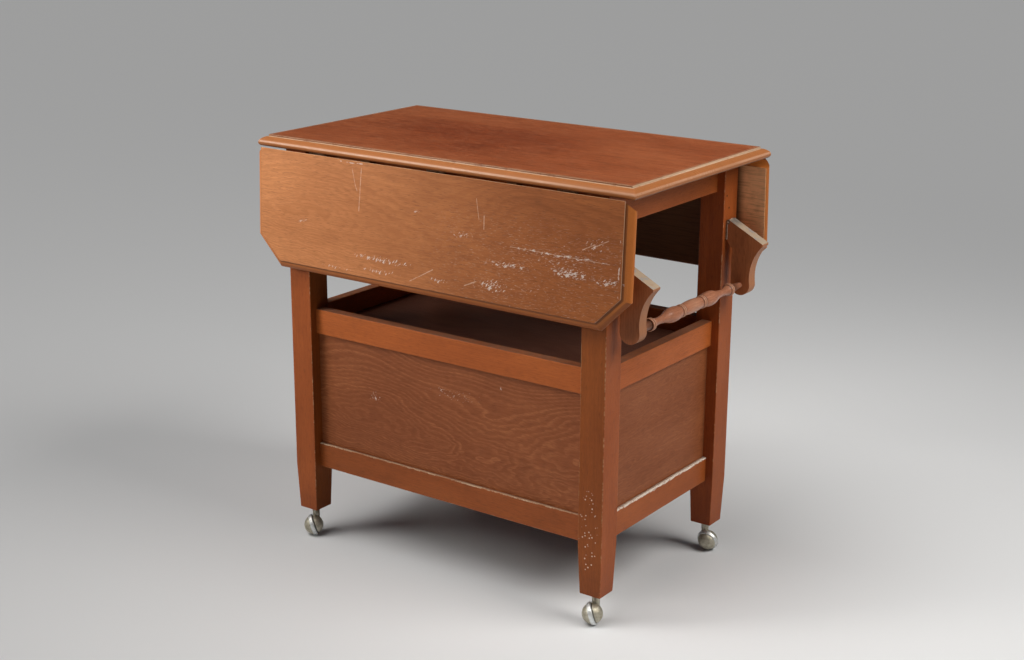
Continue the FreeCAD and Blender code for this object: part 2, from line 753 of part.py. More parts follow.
def handle_flap(name, low_x, knuckles):
    """A plate that hangs below the barrel, with the knuckles at (offset, length) that wrap the pin."""
    full_width = spread(s.bracket_thickness / 2)
    neck = s.handle_hinge_offset + s.knuckle_gap
    thickness = (low_x, s.handle_hinge_plate)
    pieces = [box(name + "_plate", thickness, full_width, (-s.handle_hinge_flap, s.handle_hinge_flap - neck))]
    for index, (offset, length) in enumerate(knuckles):
        pieces.append(box(f"{name}_tab{index}", thickness, (offset, length), (-neck, neck)))
        pieces.append(rod(f"{name}_roll{index}", barrel_radius, length, y=offset, roll=-90))
    return fuse(name + "_solid", *pieces)


leg_flaps, bracket_flaps, handle_pins = [], [], []
for side in LEAF_YAW:
    width = s.bracket_thickness
    pin = rod(f"handle_pin_{side}", s.handle_hinge_pin_radius, width, y=-width / 2, roll=-90)
    bore = rod(f"handle_bore_{side}", s.handle_hinge_pin_radius + s.pin_play, width, y=-width / 2, roll=-90)
    on_leg = handle_flap(f"leg_flap_{side}", -s.handle_hinge_offset, leg_knuckles)
    on_bracket = handle_flap(f"bracket_flap_{side}", -s.handle_hinge_plate, bracket_knuckle)
    leg_flaps.append(at_handle_pin(cut(f"leg_flap_{side}", on_leg, pin), side))
    bracket_flaps.append(at_handle_pin(cut(f"bracket_flap_{side}", on_bracket, bore), side))
    handle_pins.append(at_handle_pin(group(f"handle_pin_set_{side}", [pin]), side))
node(group("handle_hinge_leg_flaps", leg_flaps), "handle_hinge_leg_flaps")
node(group("handle_hinge_bracket_flaps", bracket_flaps), "handle_hinge_bracket_flaps")
node(group("handle_hinge_pins", handle_pins), "handle_hinge_pins")


# Handle rail: turned with a barrel between bead pairs, two vases, necks, flares and tapered spigots
def turning_half():
    """The outline from the middle of the rail to its tenon, as (distance, radius, swell) points."""
    bead = s.rail_bead_width
    swell = s.rail_bead_swell
    points = [(s.rail_barrel_half, s.rail_barrel_radius, swell)]
    reach = s.rail_barrel_half + bead
    points.append((reach, s.rail_barrel_radius, swell))
    reach = reach + bead
    points.append((reach, s.rail_barrel_radius, s.rail_vase_swell))
    reach = reach + s.rail_vase_length
    points.append((reach, s.rail_vase_radius, -s.rail_sweep_hollow))
    reach = reach + s.rail_sweep_length
    points.append((reach, s.rail_neck_radius, -s.rail_flare_hollow))
    reach = reach + s.rail_flare_length
    points.append((reach, s.rail_flare_radius, swell))
    reach = reach + bead
    points.append((reach, s.rail_flare_radius, swell))
    reach = reach + bead
    points.append((reach, s.rail_flare_radius))
    points.append((reach, s.rail_spigot_radius))
    inner_face = bracket_line - s.bracket_thickness / 2
    points.append((inner_face, s.rail_tenon_radius))
    points.append((inner_face + s.rail_tenon_length, s.rail_tenon_radius))
    points.append((inner_face + s.rail_tenon_length, Size.of(0)))
    return points


right_half = turning_half()
left_half = []
for index in range(len(right_half) - 1, -1, -1):
    distance, radius = right_half[index][:2]
    swell = right_half[index - 1][2:] if index > 0 else (s.rail_barrel_swell,)
    left_half.append((-distance, radius, *swell))
rail_body = DOC.addObject("PartDesign::Body", "handle_rail")
rail_outline = new_sketch(rail_body, "handle_rail_outline", "YZ_Plane")
rail_points = [(u, v, *(-Size.of(bow) for bow in swell)) for u, v, *swell in left_half + right_half]
closed_outline(rail_outline, rail_points)
turned(rail_body, rail_outline, "H_Axis")
place(rail_body, handle_face + s.handle_rail_out, 0, handle_pin_height - s.handle_rail_drop)
node(rail_body, "handle_rail")


# Ball casters, drawn with the stem on Z, the hood towards +X and the wheel trailing to -Y.
# The axle leans so that the tread meets the floor in line with the stem.
ring_radius = s.tread_radius - s.tread_crown
wheel_mid = (-(ring_radius * s.caster_tilt.sine()), -s.caster_trail,
             ring_radius * s.caster_tilt.cosine() + s.tread_crown)
axle_turn = (0, 90 - s.caster_tilt, 0)
rim = s.tread_crown + s.hood_gap
axle_length = s.axle_inset + s.dome_radius - s.hood_wall


def hood(name):
    """A domed cap over the upper side of the wheel, with the axle's boss inside and the stem above."""
    flange_foot = s.leg_foot_height - s.socket_flange
    neck_top = flange_foot - s.swivel_gap
    dome = ball(name + "_dome", s.dome_radius, *wheel_mid)
    neck = rod(name + "_neck", s.neck_radius, neck_top - wheel_mid[2], z=wheel_mid[2])
    stem = rod(name + "_stem", s.stem_radius, s.leg_foot_height + s.stem_length - neck_top, z=neck_top)
    hollow = ball(name + "_hollow", s.dome_radius - s.hood_wall, *wheel_mid)
    wide = s.tread_radius * 2
    wheel_side = box(name + "_wheel_side", spread(wide), spread(wide), (-wide, wide + rim))
    carry(wheel_side, (wheel_mid, axle_turn), ((-wide, -wide, -wide), (0, 0, 0)))
    blank = fuse(name + "_blank", dome, neck, stem)
    shell = cut(name + "_shell", blank, hollow, wheel_side)
    boss = rod(name + "_boss", s.axle_boss_radius, s.dome_radius - s.hood_wall / 2 - rim)
    carry(boss, (wheel_mid, axle_turn), ((0, 0, rim), (0, 0, 0)))
    seat = rod(name + "_seat", s.axle_radius, axle_length)
    carry(seat, (wheel_mid, axle_turn), ((0, 0, -s.axle_inset), (0, 0, 0)))
    return cut(name, fuse(name + "_with_boss", shell, boss), seat)


def wheel(name):
    """A domed disc with a crowned tread round it, bored for the axle."""
    body = DOC.addObject("PartDesign::Body", name)
    sketch = new_sketch(body, name + "_outline", "XZ_Plane")
    crown = s.tread_crown
    dome_edge = (s.dome_radius * s.dome_radius - crown * crown).root()
    bore = s.axle_radius + s.pin_play
    blind = s.axle_inset + s.pin_play
    hub = s.axle_boss_radius
    half_chord = (dome_edge * dome_edge + (s.dome_radius - crown) * (s.dome_radius - crown)).root() / 2
    dome_swell = s.dome_radius - (s.dome_radius * s.dome_radius - half_chord * half_chord).root()
    quarter_swell = crown * (1 - Size.of(0.5).root())
    closed_outline(sketch, [(0, -s.dome_radius, dome_swell), (dome_edge, -crown),
                            (ring_radius, -crown, quarter_swell), (s.tread_radius, 0, quarter_swell),
                            (ring_radius, crown), (hub, crown), (hub, crown + s.hub_lip),
                            (bore, crown + s.hub_lip), (bore, -blind), (0, -blind)])
    turned(body, sketch, "V_Axis")
    return body


sockets = []
for sx, sy in CORNERS:
    corner = corner_name(sx, sy)
    turn = getattr(s, f"turn_{corner}")
    foot = (middle + (s.leg_span_x / 2 - s.leg_size / 2) * SIDES[sx],
            (s.leg_span_y / 2 - s.leg_size / 2) * SIDES[sy], 0)
    swivel = (foot, (turn, 0, 0))
    tilt = (wheel_mid, axle_turn)
    node(carry(hood(f"caster_hood_{corner}"), swivel), f"caster_hood_{corner}")
    node(carry(wheel(f"caster_wheel_{corner}"), swivel, tilt), f"caster_wheel_{corner}")
    axle = rod(f"caster_axle_{corner}", s.axle_radius, axle_length)
    node(carry(axle, swivel, tilt, ((0, 0, -s.axle_inset), (0, 0, 0))), f"caster_axle_{corner}")
    sleeve = rod(f"socket_sleeve_{corner}", s.socket_radius, s.socket_depth, z=s.leg_foot_height)
    flange = rod(f"socket_flange_{corner}", s.socket_flange_radius, s.socket_flange,
                 z=s.leg_foot_height - s.socket_flange)
    way = rod(f"socket_way_{corner}", s.stem_radius + s.pin_play, s.socket_flange + s.socket_depth,
              z=s.leg_foot_height - s.socket_flange)
    socket = cut(f"socket_{corner}", fuse(f"socket_blank_{corner}", sleeve, flange), way)
    sockets.append(carry(socket, swivel))
node(group("caster_sockets", sockets), "caster_sockets")

DOC.recompute()

# Every object has to be whole before anything is written
for obj in DOC.Objects:
    if any(word in state for state in obj.State for word in ("Invalid", "Error")):
        raise RuntimeError(f"{obj.Name} failed: {obj.State}")
for obj in NODES:
    if obj.Shape.isNull() or not obj.Shape.isValid() or not obj.Shape.Solids:
        raise RuntimeError(f"{obj.Label} has no sound shape")

os.makedirs("parts", exist_ok=True)
for obj in NODES:
    obj.Shape.exportStep(f"parts/{obj.Label}.step")
print(len(NODES), "nodes written")
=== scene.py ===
import json
import math

import bmesh
import bpy
from mathutils import Matrix, Vector


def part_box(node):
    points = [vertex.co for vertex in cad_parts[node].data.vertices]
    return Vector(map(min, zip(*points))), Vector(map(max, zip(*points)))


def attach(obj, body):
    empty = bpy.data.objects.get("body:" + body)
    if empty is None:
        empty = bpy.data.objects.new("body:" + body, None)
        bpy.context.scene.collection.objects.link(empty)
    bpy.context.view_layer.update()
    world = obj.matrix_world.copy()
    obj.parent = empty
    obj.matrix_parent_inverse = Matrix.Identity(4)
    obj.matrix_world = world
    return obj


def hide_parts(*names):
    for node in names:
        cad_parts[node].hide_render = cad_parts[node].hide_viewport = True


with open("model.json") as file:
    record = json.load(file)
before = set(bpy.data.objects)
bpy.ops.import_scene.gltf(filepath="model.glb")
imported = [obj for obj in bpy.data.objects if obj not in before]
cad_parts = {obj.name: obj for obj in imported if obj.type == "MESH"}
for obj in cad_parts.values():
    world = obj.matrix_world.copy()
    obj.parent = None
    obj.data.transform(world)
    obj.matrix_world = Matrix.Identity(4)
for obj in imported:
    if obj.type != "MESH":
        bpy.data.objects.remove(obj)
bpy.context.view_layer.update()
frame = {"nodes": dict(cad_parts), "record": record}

# Legs
# Four posts of straight-grained oak, 46 mm square, tapered on all sides below the box and mortised for
# the rails. Stained and varnished, with the arrises rubbed round by handling and a few knocks low on the
# front right one. Some of their faces are painted darker with shade, and they darken towards the foot.


def put(tree, kind, feeds=None, **props):
    """Adds a node, sets its properties and feeds its inputs from values or from other sockets."""
    made = tree.nodes.new(kind)
    for prop, value in props.items():
        setattr(made, prop, value)
    for socket, value in (feeds or {}).items():
        if isinstance(value, bpy.types.NodeSocket):
            tree.links.new(value, made.inputs[socket])
        else:
            made.inputs[socket].default_value = value
    return made


def calc(tree, operation, *terms, clamp=False):
    feeds = dict(enumerate(terms))
    return put(tree, "ShaderNodeMath", feeds, operation=operation, use_clamp=clamp).outputs[0]


def vector_calc(tree, operation, *terms):
    return put(tree, "ShaderNodeVectorMath", dict(enumerate(terms)), operation=operation).outputs[0]


def times(tree, first, *others):
    """The product of all the terms."""
    for term in others:
        first = calc(tree, "MULTIPLY", first, term)
    return first


def measure(tree, operation, *terms):
    """A number found from vectors: a length, a distance or a dot product."""
    return put(tree, "ShaderNodeVectorMath", dict(enumerate(terms)), operation=operation).outputs["Value"]


def along(tree, vector, way):
    """How far a point lies, or how much a normal points, along a way."""
    return measure(tree, "DOT_PRODUCT", vector, way)


def scaled(tree, vector, factor):
    return put(tree, "ShaderNodeVectorMath", {0: vector, "Scale": factor}, operation="SCALE").outputs[0]


def split(tree, vector):
    """A vector's X, Y and Z."""
    return put(tree, "ShaderNodeSeparateXYZ", {0: vector}).outputs


def joined(tree, **axes):
    """A vector put together from numbers."""
    return put(tree, "ShaderNodeCombineXYZ", axes).outputs[0]


def noise(tree, vector, factors, detail=2.0, roughness=0.55):
    """Noise with features about one over the factors across, in metres: one factor, or one for each axis."""
    if isinstance(factors, float):
        factors = (factors,) * 3
    feeds = {"Vector": vector_calc(tree, "MULTIPLY", vector, factors), "Scale": 1.0, "Detail": detail,
             "Roughness": roughness}
    return put(tree, "ShaderNodeTexNoise", feeds).outputs[0]


def ease(tree, value, low, high, to_low=0.0, to_high=1.0):
    """A smooth step from low to high."""
    feeds = {"Value": value, "From Min": low, "From Max": high, "To Min": to_low, "To Max": to_high}
    return put(tree, "ShaderNodeMapRange", feeds, interpolation_type="SMOOTHSTEP").outputs[0]


def band(tree, value, low, high, soft):
    """One between low and high, falling off over a soft margin."""
    rising = ease(tree, value, low - soft, low)
    return calc(tree, "MULTIPLY", rising, ease(tree, value, high + soft, high))


def facing(tree, way):
    """The cosine between the surface's normal and a way."""
    return along(tree, put(tree, "ShaderNodeTexCoord").outputs["Normal"], way)


def looking(tree, way, low=0.6, high=0.9):
    """One where the surface looks a given way."""
    return ease(tree, facing(tree, way), low, high)


def attribute(tree, name):
    return put(tree, "ShaderNodeAttribute", attribute_name=name).outputs["Fac"]


def blend(tree, share, first, second, how="MIX"):
    made = put(tree, "ShaderNodeMix", data_type="RGBA", blend_type=how)
    for index, value in ((0, share), (6, first), (7, second)):
        if isinstance(value, bpy.types.NodeSocket):
            tree.links.new(value, made.inputs[index])
        else:
            made.inputs[index].default_value = value if index == 0 else (*value, 1.0)
    return made.outputs[2]


def shaded(colour, factor):
    return tuple(part * factor for part in colour)


def new_group(name, inputs, outputs):
    """A shader node group with named sockets, each given as (name, kind, value)."""
    tree = bpy.data.node_groups.new(name, "ShaderNodeTree")
    for label, kind, value in inputs:
        socket = tree.interface.new_socket(label, in_out="INPUT", socket_type=kind)
        if value is not None:
            socket.default_value = value
    for label, kind in outputs:
        tree.interface.new_socket(label, in_out="OUTPUT", socket_type=kind)
    return tree, tree.nodes.new("NodeGroupInput").outputs, tree.nodes.new("NodeGroupOutput").inputs


def use(tree, group, feeds):
    """The outputs of a group that is put into a tree and fed."""
    return put(tree, "ShaderNodeGroup", feeds, node_tree=group).outputs


FLOAT, VECTOR = "NodeSocketFloat", "NodeSocketVector"

# Oak grain: growth rings round a pith that wanders below the board, fibres along it, and open pores
oak_grain, given, out = new_group(
    "oak_grain",
    [("Vector", VECTOR, None), ("Ring Width", FLOAT, 0.004), ("Pith Depth", FLOAT, 0.12),
     ("Wander", FLOAT, 0.05), ("Waver", FLOAT, 0.012), ("Fibre", FLOAT, 0.5), ("Ring", FLOAT, 0.3),
     ("Base", FLOAT, 0.6)],
    [("Tone", FLOAT), ("Pores", FLOAT), ("Relief", FLOAT)])
tree, at = oak_grain, given["Vector"]
place = split(tree, at)
drift = calc(tree, "SUBTRACT", noise(tree, at, (2.4, 6.0, 6.0), 1.0), 0.5)
waver = calc(tree, "SUBTRACT", noise(tree, at, (14.0, 36.0, 36.0), 2.0), 0.5)
depth = calc(tree, "MULTIPLY_ADD", drift, given["Wander"], given["Pith Depth"])
pith = joined(tree, X=calc(tree, "MULTIPLY_ADD", waver, given["Waver"], place["Y"]),
              Y=calc(tree, "ADD", depth, place["Z"]))
radius = measure(tree, "LENGTH", pith)
radius = calc(tree, "MULTIPLY_ADD", waver, times(tree, given["Waver"], 0.5), radius)
count = calc(tree, "DIVIDE", radius, given["Ring Width"])
year = put(tree, "ShaderNodeTexWhiteNoise", {"W": calc(tree, "FLOOR", count)},
           noise_dimensions="1D").outputs["Value"]
season = calc(tree, "FRACT", count)
late = times(tree, ease(tree, season, 0.3, 0.8), ease(tree, season, 1.0, 0.88))
late = times(tree, late, calc(tree, "MULTIPLY_ADD", year, 0.6, 0.4))
dash = noise(tree, at, (85.0, 460.0, 460.0), 2.0, 0.6)
late = times(tree, late, ease(tree, dash, 0.3, 0.65, 0.35, 1.4))
fibre = noise(tree, at, (16.0, 430.0, 430.0), 3.0, 0.6)
streak = noise(tree, at, (4.0, 75.0, 75.0), 2.0)
pores = ease(tree, noise(tree, at, (70.0, 900.0, 900.0), 1.0), 0.54, 0.68)
pores = times(tree, pores, calc(tree, "MULTIPLY_ADD", late, -0.7, 1.0))
mixed = calc(tree, "MULTIPLY_ADD", fibre, 0.4, times(tree, streak, 0.25))
mixed = calc(tree, "MULTIPLY_ADD", dash, 0.35, mixed)
tone = calc(tree, "MULTIPLY_ADD", calc(tree, "SUBTRACT", mixed, 0.5), given["Fibre"], given["Base"])
tone = calc(tree, "SUBTRACT", tone, times(tree, late, given["Ring"]), clamp=True)
tree.links.new(tone, out["Tone"])
tree.links.new(pores, out["Pores"])
tree.links.new(calc(tree, "SUBTRACT", fibre, pores), out["Relief"])

# Wear: bare wood along rubbed arrises, uneven stain, and grime
rub_wear, given, out = new_group(
    "rub_wear",
    [("Vector", VECTOR, None), ("Edge", FLOAT, 0.0), ("Rubbed", FLOAT, 0.5), ("Patch Size", FLOAT, 0.2)],
    [("Bare", FLOAT), ("Blotch", FLOAT), ("Grime", FLOAT)])
tree, at = rub_wear, given["Vector"]
broad = noise(tree, at, 24.0, 4.0, 0.65)
small = noise(tree, at, 230.0, 2.0)
worn = calc(tree, "MULTIPLY_ADD", small, 0.35, times(tree, broad, 0.65))
worn = calc(tree, "ADD", worn, calc(tree, "SUBTRACT", given["Rubbed"], 0.5))
bare = calc(tree, "MULTIPLY", ease(tree, worn, 0.44, 0.6), given["Edge"], clamp=True)
spacing = calc(tree, "DIVIDE", 1.0, given["Patch Size"])
blotch_at = scaled(tree, at, spacing)
tree.links.new(bare, out["Bare"])
tree.links.new(ease(tree, noise(tree, blotch_at, (1.0, 1.9, 1.9), 3.0), 0.32, 0.68), out["Blotch"])
tree.links.new(ease(tree, noise(tree, blotch_at, (3.1, 6.0, 6.0), 4.0, 0.7), 0.5, 0.75), out["Grime"])

# Turns that lay the grain along a piece: along X, Y or Z, flat or on edge
GRAIN_X_FLAT = (0.0, 0.0, 0.0)
GRAIN_X_EDGE = (math.radians(90), 0.0, 0.0)
GRAIN_Y_FLAT = (0.0, 0.0, math.radians(-90))
GRAIN_Y_EDGE = (math.radians(-90), math.radians(-90), 0.0)
GRAIN_Z = (0.0, math.radians(90), 0.0)


def new_material(name):
    """An empty material, its tree and the piece's own coordinates in it."""
    made = bpy.data.materials.new(name)
    made.use_nodes = True
    made.node_tree.nodes.clear()
    return made, made.node_tree, put(made.node_tree, "ShaderNodeTexCoord").outputs["Object"]


def surface(tree, colour, rough, relief, strength, height, more):
    """Ends a material in a shader with a fine relief."""
    bump = put(tree, "ShaderNodeBump", {"Strength": strength, "Distance": height, "Height": relief})
    feeds = {"Base Color": colour, "Roughness": rough, "Normal": bump.outputs[0], **more}
    shader = put(tree, "ShaderNodeBsdfPrincipled", feeds)
    tree.links.new(shader.outputs[0], put(tree, "ShaderNodeOutputMaterial").inputs["Surface"])


PORE_SHADE, GRIME_SHADE, GRIME_SHARE = 0.4, 0.6, 0.25
BLOTCH_DULL, BARE_DULL, VARNISH_SHINE = 0.08, 0.25, 0.22


def oak(name, turn, shift, light, dark, base=0.6, ring=0.25, ring_width=0.004, depth=0.18, wander=0.02,
        waver=0.008, fibre=2.3, pore=0.35, stain=(0.84, 0.80, 0.76), patch=0.22, rubbed=0.45,
        bare=(0.47, 0.19, 0.075), gloss=0.42, marks=None):
    """Stained and varnished oak. marks(tree, spot) may lay (share, colour, roughness, how) over it."""
    made, tree, spot = new_material(name)
    run = put(tree, "ShaderNodeMapping", {"Vector": spot, "Rotation": turn, "Location": shift}).outputs[0]
    grain = use(tree, oak_grain, {
        "Vector": run, "Ring Width": ring_width, "Pith Depth": depth, "Wander": wander, "Waver": waver,
        "Fibre": fibre, "Ring": ring, "Base": base})
    wear = use(tree, rub_wear, {
        "Vector": run, "Edge": attribute(tree, "arris"), "Rubbed": rubbed, "Patch Size": patch})
    colour = blend(tree, grain["Tone"], dark, light)
    colour = blend(tree, times(tree, grain["Pores"], pore), colour, shaded(dark, PORE_SHADE))
    colour = blend(tree, wear["Blotch"], colour, stain, "MULTIPLY")
    colour = blend(tree, times(tree, wear["Grime"], GRIME_SHARE), colour, shaded(dark, GRIME_SHADE))
    colour = blend(tree, wear["Bare"], colour, bare)
    rough = calc(tree, "MULTIPLY_ADD", wear["Blotch"], BLOTCH_DULL, gloss)
    rough = calc(tree, "MULTIPLY_ADD", wear["Bare"], BARE_DULL, rough)
    for share, shade, dull, *how in (marks(tree, spot) if marks else []):
        colour = blend(tree, share, colour, shade, *how)
        rough = calc(tree, "MULTIPLY_ADD", share, dull, rough, clamp=True)
    surface(tree, colour, rough, grain["Relief"], 0.25, 0.0004, {"Specular IOR Level": VARNISH_SHINE})
    return made


CREASE, FLAT, WELD = math.radians(24), math.radians(0.5), 2e-6
# How worn an arris is that looks up, sideways or down
WORN_UP, WORN_SIDE, WORN_DOWN = 1.0, 0.6, 0.35


def outer_arrises(mesh, reach):
    """The sharp convex edges on the outside of a piece, leaving its mortises and grooves crisp."""
    found = []
    for edge in mesh.edges:
        if len(edge.link_faces) != 2 or edge.calc_face_angle_signed(0) < CREASE:
            continue
        way = edge.link_faces[0].normal + edge.link_faces[1].normal
        way.normalize()
        middle = (edge.verts[0].co + edge.verts[1].co) / 2
        if max(vert.co.dot(way) for vert in mesh.verts) - middle.dot(way) < reach:
            found.append(edge)
    return found


def eased_piece(node, body, material, width=0.0012, reach=0.0015, smooth=32, reshape=None):
    """The piece that stands for a CAD node, with its outer arrises worn round, upper ones the most."""
    shape = bmesh.new()
    shape.from_mesh(frame["nodes"][node].data)
    bmesh.ops.remove_doubles(shape, verts=shape.verts, dist=WELD)
    bmesh.ops.dissolve_limit(shape, angle_limit=FLAT, verts=shape.verts, edges=shape.edges)
    if reshape:
        reshape(shape)
    layer = shape.faces.layers.float.new("arris")
    if width:
        worn = bmesh.ops.bevel(shape, geom=outer_arrises(shape, reach), offset=width, segments=2, profile=0.5,
                               affect="EDGES", clamp_overlap=True)
        shape.normal_update()
        for face in worn["faces"]:
            rise = face.normal.z
            face[layer] = WORN_UP if rise > 0.25 else WORN_SIDE if rise > -0.25 else WORN_DOWN
    return finish_piece(shape, node, body, material, smooth)


def finish_piece(shape, node, body, material, smooth=32):
    """Turns a bmesh into the piece that replaces a CAD node."""
    mesh = bpy.data.meshes.new(f"{node}_dressed")
    for face in shape.faces:
        face.smooth = True
    shape.to_mesh(mesh)
    shape.free()
    mesh.set_sharp_from_angle(angle=math.radians(smooth))
    piece = bpy.data.objects.new(f"{node}_dressed", mesh)
    bpy.context.scene.collection.objects.link(piece)
    for finish in material if isinstance(material, list) else [material]:
        mesh.materials.append(finish)
    even = piece.modifiers.new("even_shading", "WEIGHTED_NORMAL")
    even.keep_sharp = True
    plain = bpy.data.meshes.new_from_object(piece.evaluated_get(bpy.context.evaluated_depsgraph_get()))
    piece.modifiers.remove(even)
    plain.name = f"{node}_mesh"
    piece.data = plain
    bpy.data.meshes.remove(mesh)
    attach(piece, body)
    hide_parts(node)
    return piece


# Specks: small pale knocks scattered over a patch
specks, given, out = new_group(
    "specks", [("Vector", VECTOR, None), ("Centre", VECTOR, None), ("Half Size", VECTOR, (0.02, 0.02, 0.02)),
               ("Spacing", FLOAT, 0.008), ("Density", FLOAT, 0.4)],
    [("Mark", FLOAT)])
tree, at = specks, given["Vector"]
offset = vector_calc(tree, "SUBTRACT", at, given["Centre"])
rim = measure(tree, "LENGTH", vector_calc(tree, "DIVIDE", offset, given["Half Size"]))
crowd = calc(tree, "DIVIDE", 1.0, given["Spacing"])
cell = put(tree, "ShaderNodeTexVoronoi", {"Vector": at, "Scale": crowd, "Randomness": 1.0})
chance = put(tree, "ShaderNodeSeparateColor", {0: cell.outputs["Color"]}).outputs
kept = ease(tree, chance[0], given["Density"], calc(tree, "SUBTRACT", given["Density"], 0.05))
spread = calc(tree, "MULTIPLY_ADD", chance[1], 0.16, 0.05)
dot = ease(tree, calc(tree, "SUBTRACT", cell.outputs["Distance"], spread), 0.06, -0.02)
inside = times(tree, kept, ease(tree, rim, 1.05, 0.85))
tree.links.new(times(tree, dot, inside), out["Mark"])


def speck_marks(patches, colour, strength=0.7):
    """Marks that lay specks over patches, each given as centre, half size, spacing and density."""
    def marks(tree, spot):
        laid = []
        for patch in patches:
            feeds = dict(zip(("Centre", "Half Size", "Spacing", "Density"), patch))
            mark = use(tree, specks, {"Vector": spot, **feeds})["Mark"]
            laid.append((times(tree, mark, strength), colour, 0.1))
        return laid
    return marks


LEG_LIGHT, LEG_DARK, LEG_BARE = (0.400, 0.100, 0.022), (0.270, 0.063, 0.013), (0.56, 0.34, 0.20)
KNOCK, FOOT_DARKENING, HOLE_PAINTED_SHADE = (0.74, 0.62, 0.50), (0.84, 0.79, 0.74), (0.02, 0.009, 0.005)
foot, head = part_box("leg_front_right")
leg_knocks = speck_marks([((foot.x + 0.020, foot.y, 0.165), (0.018, 0.02, 0.075), 0.006, 0.68),
                          ((head.x, foot.y + 0.02, 0.30), (0.02, 0.03, 0.20), 0.022, 0.3)], KNOCK, 0.95)
foot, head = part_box("leg_back_right")
SCREW_HOLES = [(head.x, foot.y + 0.0085, 0.657), (head.x, foot.y + 0.0175, 0.635)]


def empty_holes(tree, spot):
    """Two small holes left in the face of the leg, drawn as dark spots of painted shade."""
    away = [measure(tree, "DISTANCE", spot, at) for at in SCREW_HOLES]
    return [(ease(tree, off, 0.0024, 0.0013), HOLE_PAINTED_SHADE, 0.2) for off in away]


LEG_MARKS = {"front_right": leg_knocks, "back_right": empty_holes}
# Painted shade: the way a face looks and the darker tint laid over it there
LEG_PAINTED_SHADE = {"front_left": ((1.0, 0.0, 0.0), (0.68, 0.71, 0.52)),
             "front_right": ((0.0, -1.0, 0.0), (0.74, 0.77, 0.58)),
             "back_right": ((0.0, -1.0, 0.0), (0.92, 0.78, 0.66))}


def leg_marks(corner):
    """A foot that darkens towards the floor, painted shade on some of the leg's faces, and its knocks or
    holes.
    """
    def marks(tree, spot):
        # Darker towards the foot
        laid = [(ease(tree, split(tree, spot)["Z"], 0.13, 0.05), FOOT_DARKENING, 0.0, "MULTIPLY")]
        # Painted shade on the faces that get less light
        if corner in LEG_PAINTED_SHADE:
            way, tint = LEG_PAINTED_SHADE[corner]
            laid.append((looking(tree, way), tint, 0.0, "MULTIPLY"))
        return laid + (LEG_MARKS[corner](tree, spot) if corner in LEG_MARKS else [])
    return marks


FOOT_FULLER, STEM_ROOM = 0.07, 0.015


def fuller_foot(shape):
    """Lets the taper out a little, so that the foot is as stout as the real one."""
    lowest = min(vert.co.z for vert in shape.verts)
    sole = [vert for vert in shape.verts if vert.co.z < lowest + 1e-5]
    middle = Vector([(min(v.co[i] for v in sole) + max(v.co[i] for v in sole)) / 2 for i in range(3)])
    for vert in sole:
        if (vert.co - middle).length > STEM_ROOM:
            vert.co += (vert.co - middle) * FOOT_FULLER


CORNERS = [f"{depth_side}_{end}" for depth_side in ("front", "back") for end in ("left", "right")]
for index, corner in enumerate(CORNERS):
    finish = oak(f"oak_leg_{corner}", GRAIN_Z, (0.31 * index, 0.11 * index, 0.07 * index), LEG_LIGHT,
                 LEG_DARK, ring=0.2, ring_width=0.0036, rubbed=0.46, bare=LEG_BARE, marks=leg_marks(corner))
    eased_piece(f"leg_{corner}", "frame", finish, width=0.0014, reshape=fuller_foot)

# Rails and aprons
# Straight oak rails tenoned between the legs: the tray's gallery, the foot of the box and the aprons under
# the top. The base rails' upper edges are dusty and chipped pale, and the gallery's have gone greyish.
RAIL_LIGHT, RAIL_DARK, CHIPPED = (0.440, 0.115, 0.025), (0.300, 0.074, 0.016), (0.74, 0.66, 0.57)


def upper_edge(colour, strength=0.75):
    """Marks that dull a rail's upper face in uneven patches."""
    def marks(tree, spot):
        patchy = ease(tree, noise(tree, spot, 38.0, 3.0, 0.65), 0.25, 0.6, 0.45, 1.0)
        return [(times(tree, looking(tree, (0.0, 0.0, 1.0)), patchy, strength), colour, 0.2)]
    return marks


def chipped_edge(tree, spot):
    """Varnish and dirt knocked off the end rail's upper corner, down to pale wood."""
    ragged = noise(tree, spot, 90.0, 3.0, 0.65)
    below = calc(tree, "SUBTRACT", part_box("base_rail_right")[1].z, split(tree, spot)["Z"])
    near = ease(tree, calc(tree, "MULTIPLY_ADD", ragged, -0.011, below), -0.0022, -0.0034)
    flakes = ease(tree, noise(tree, spot, 240.0), 0.36, 0.5, 0.35, 1.0)
    return [(times(tree, near, flakes), CHIPPED, 0.2)]


# The sides and the turn that lays the grain along each
SIDES = {"front": GRAIN_X_EDGE, "back": GRAIN_X_EDGE, "left": GRAIN_Y_EDGE, "right": GRAIN_Y_EDGE}
# Each kind of rail: how rubbed it is, its bare wood, its marks, and a factor on its colour for each side,
# which sets its tone and, where the sides differ, paints the light and shade that each side gets
RAILS = {"base_rail": (0.50, (0.52, 0.38, 0.26), upper_edge((0.42, 0.30, 0.20)), (0.75, 0.88, 0.88, 0.95)),
         "tray_rail": (0.38, (0.44, 0.21, 0.10), upper_edge((0.20, 0.105, 0.068)), (1.09, 1.09, 1.09, 1.13)),
         "apron": (0.30, (0.46, 0.20, 0.08), None, (1.13, 1.13, 1.13, 1.13))}
for kind, (rubbed, bare, marks, tone_and_painted_light) in RAILS.items():
    for index, (side, turn) in enumerate(SIDES.items()):
        finish = oak(f"oak_{kind}_{side}", turn,
                     (0.23 * index, 0.37 * len(kind) + 0.05 * index, 0.09 * index),
                     shaded(RAIL_LIGHT, tone_and_painted_light[index]), shaded(RAIL_DARK, tone_and_painted_light[index]), ring=0.2,
                     ring_width=0.0038, rubbed=rubbed, bare=bare,
                     marks=chipped_edge if (kind, side) == ("base_rail", "right") else marks)
        eased_piece(f"{kind}_{side}", "frame", finish, width=0.0015)

# Panels, tray shelf and base board
# Thin oak-faced ply held in grooves of the frame. The long panels show a broad swirling figure of fine pale
# lines, the end ones a close mottle, and the boards inside have gone dark and dusty.

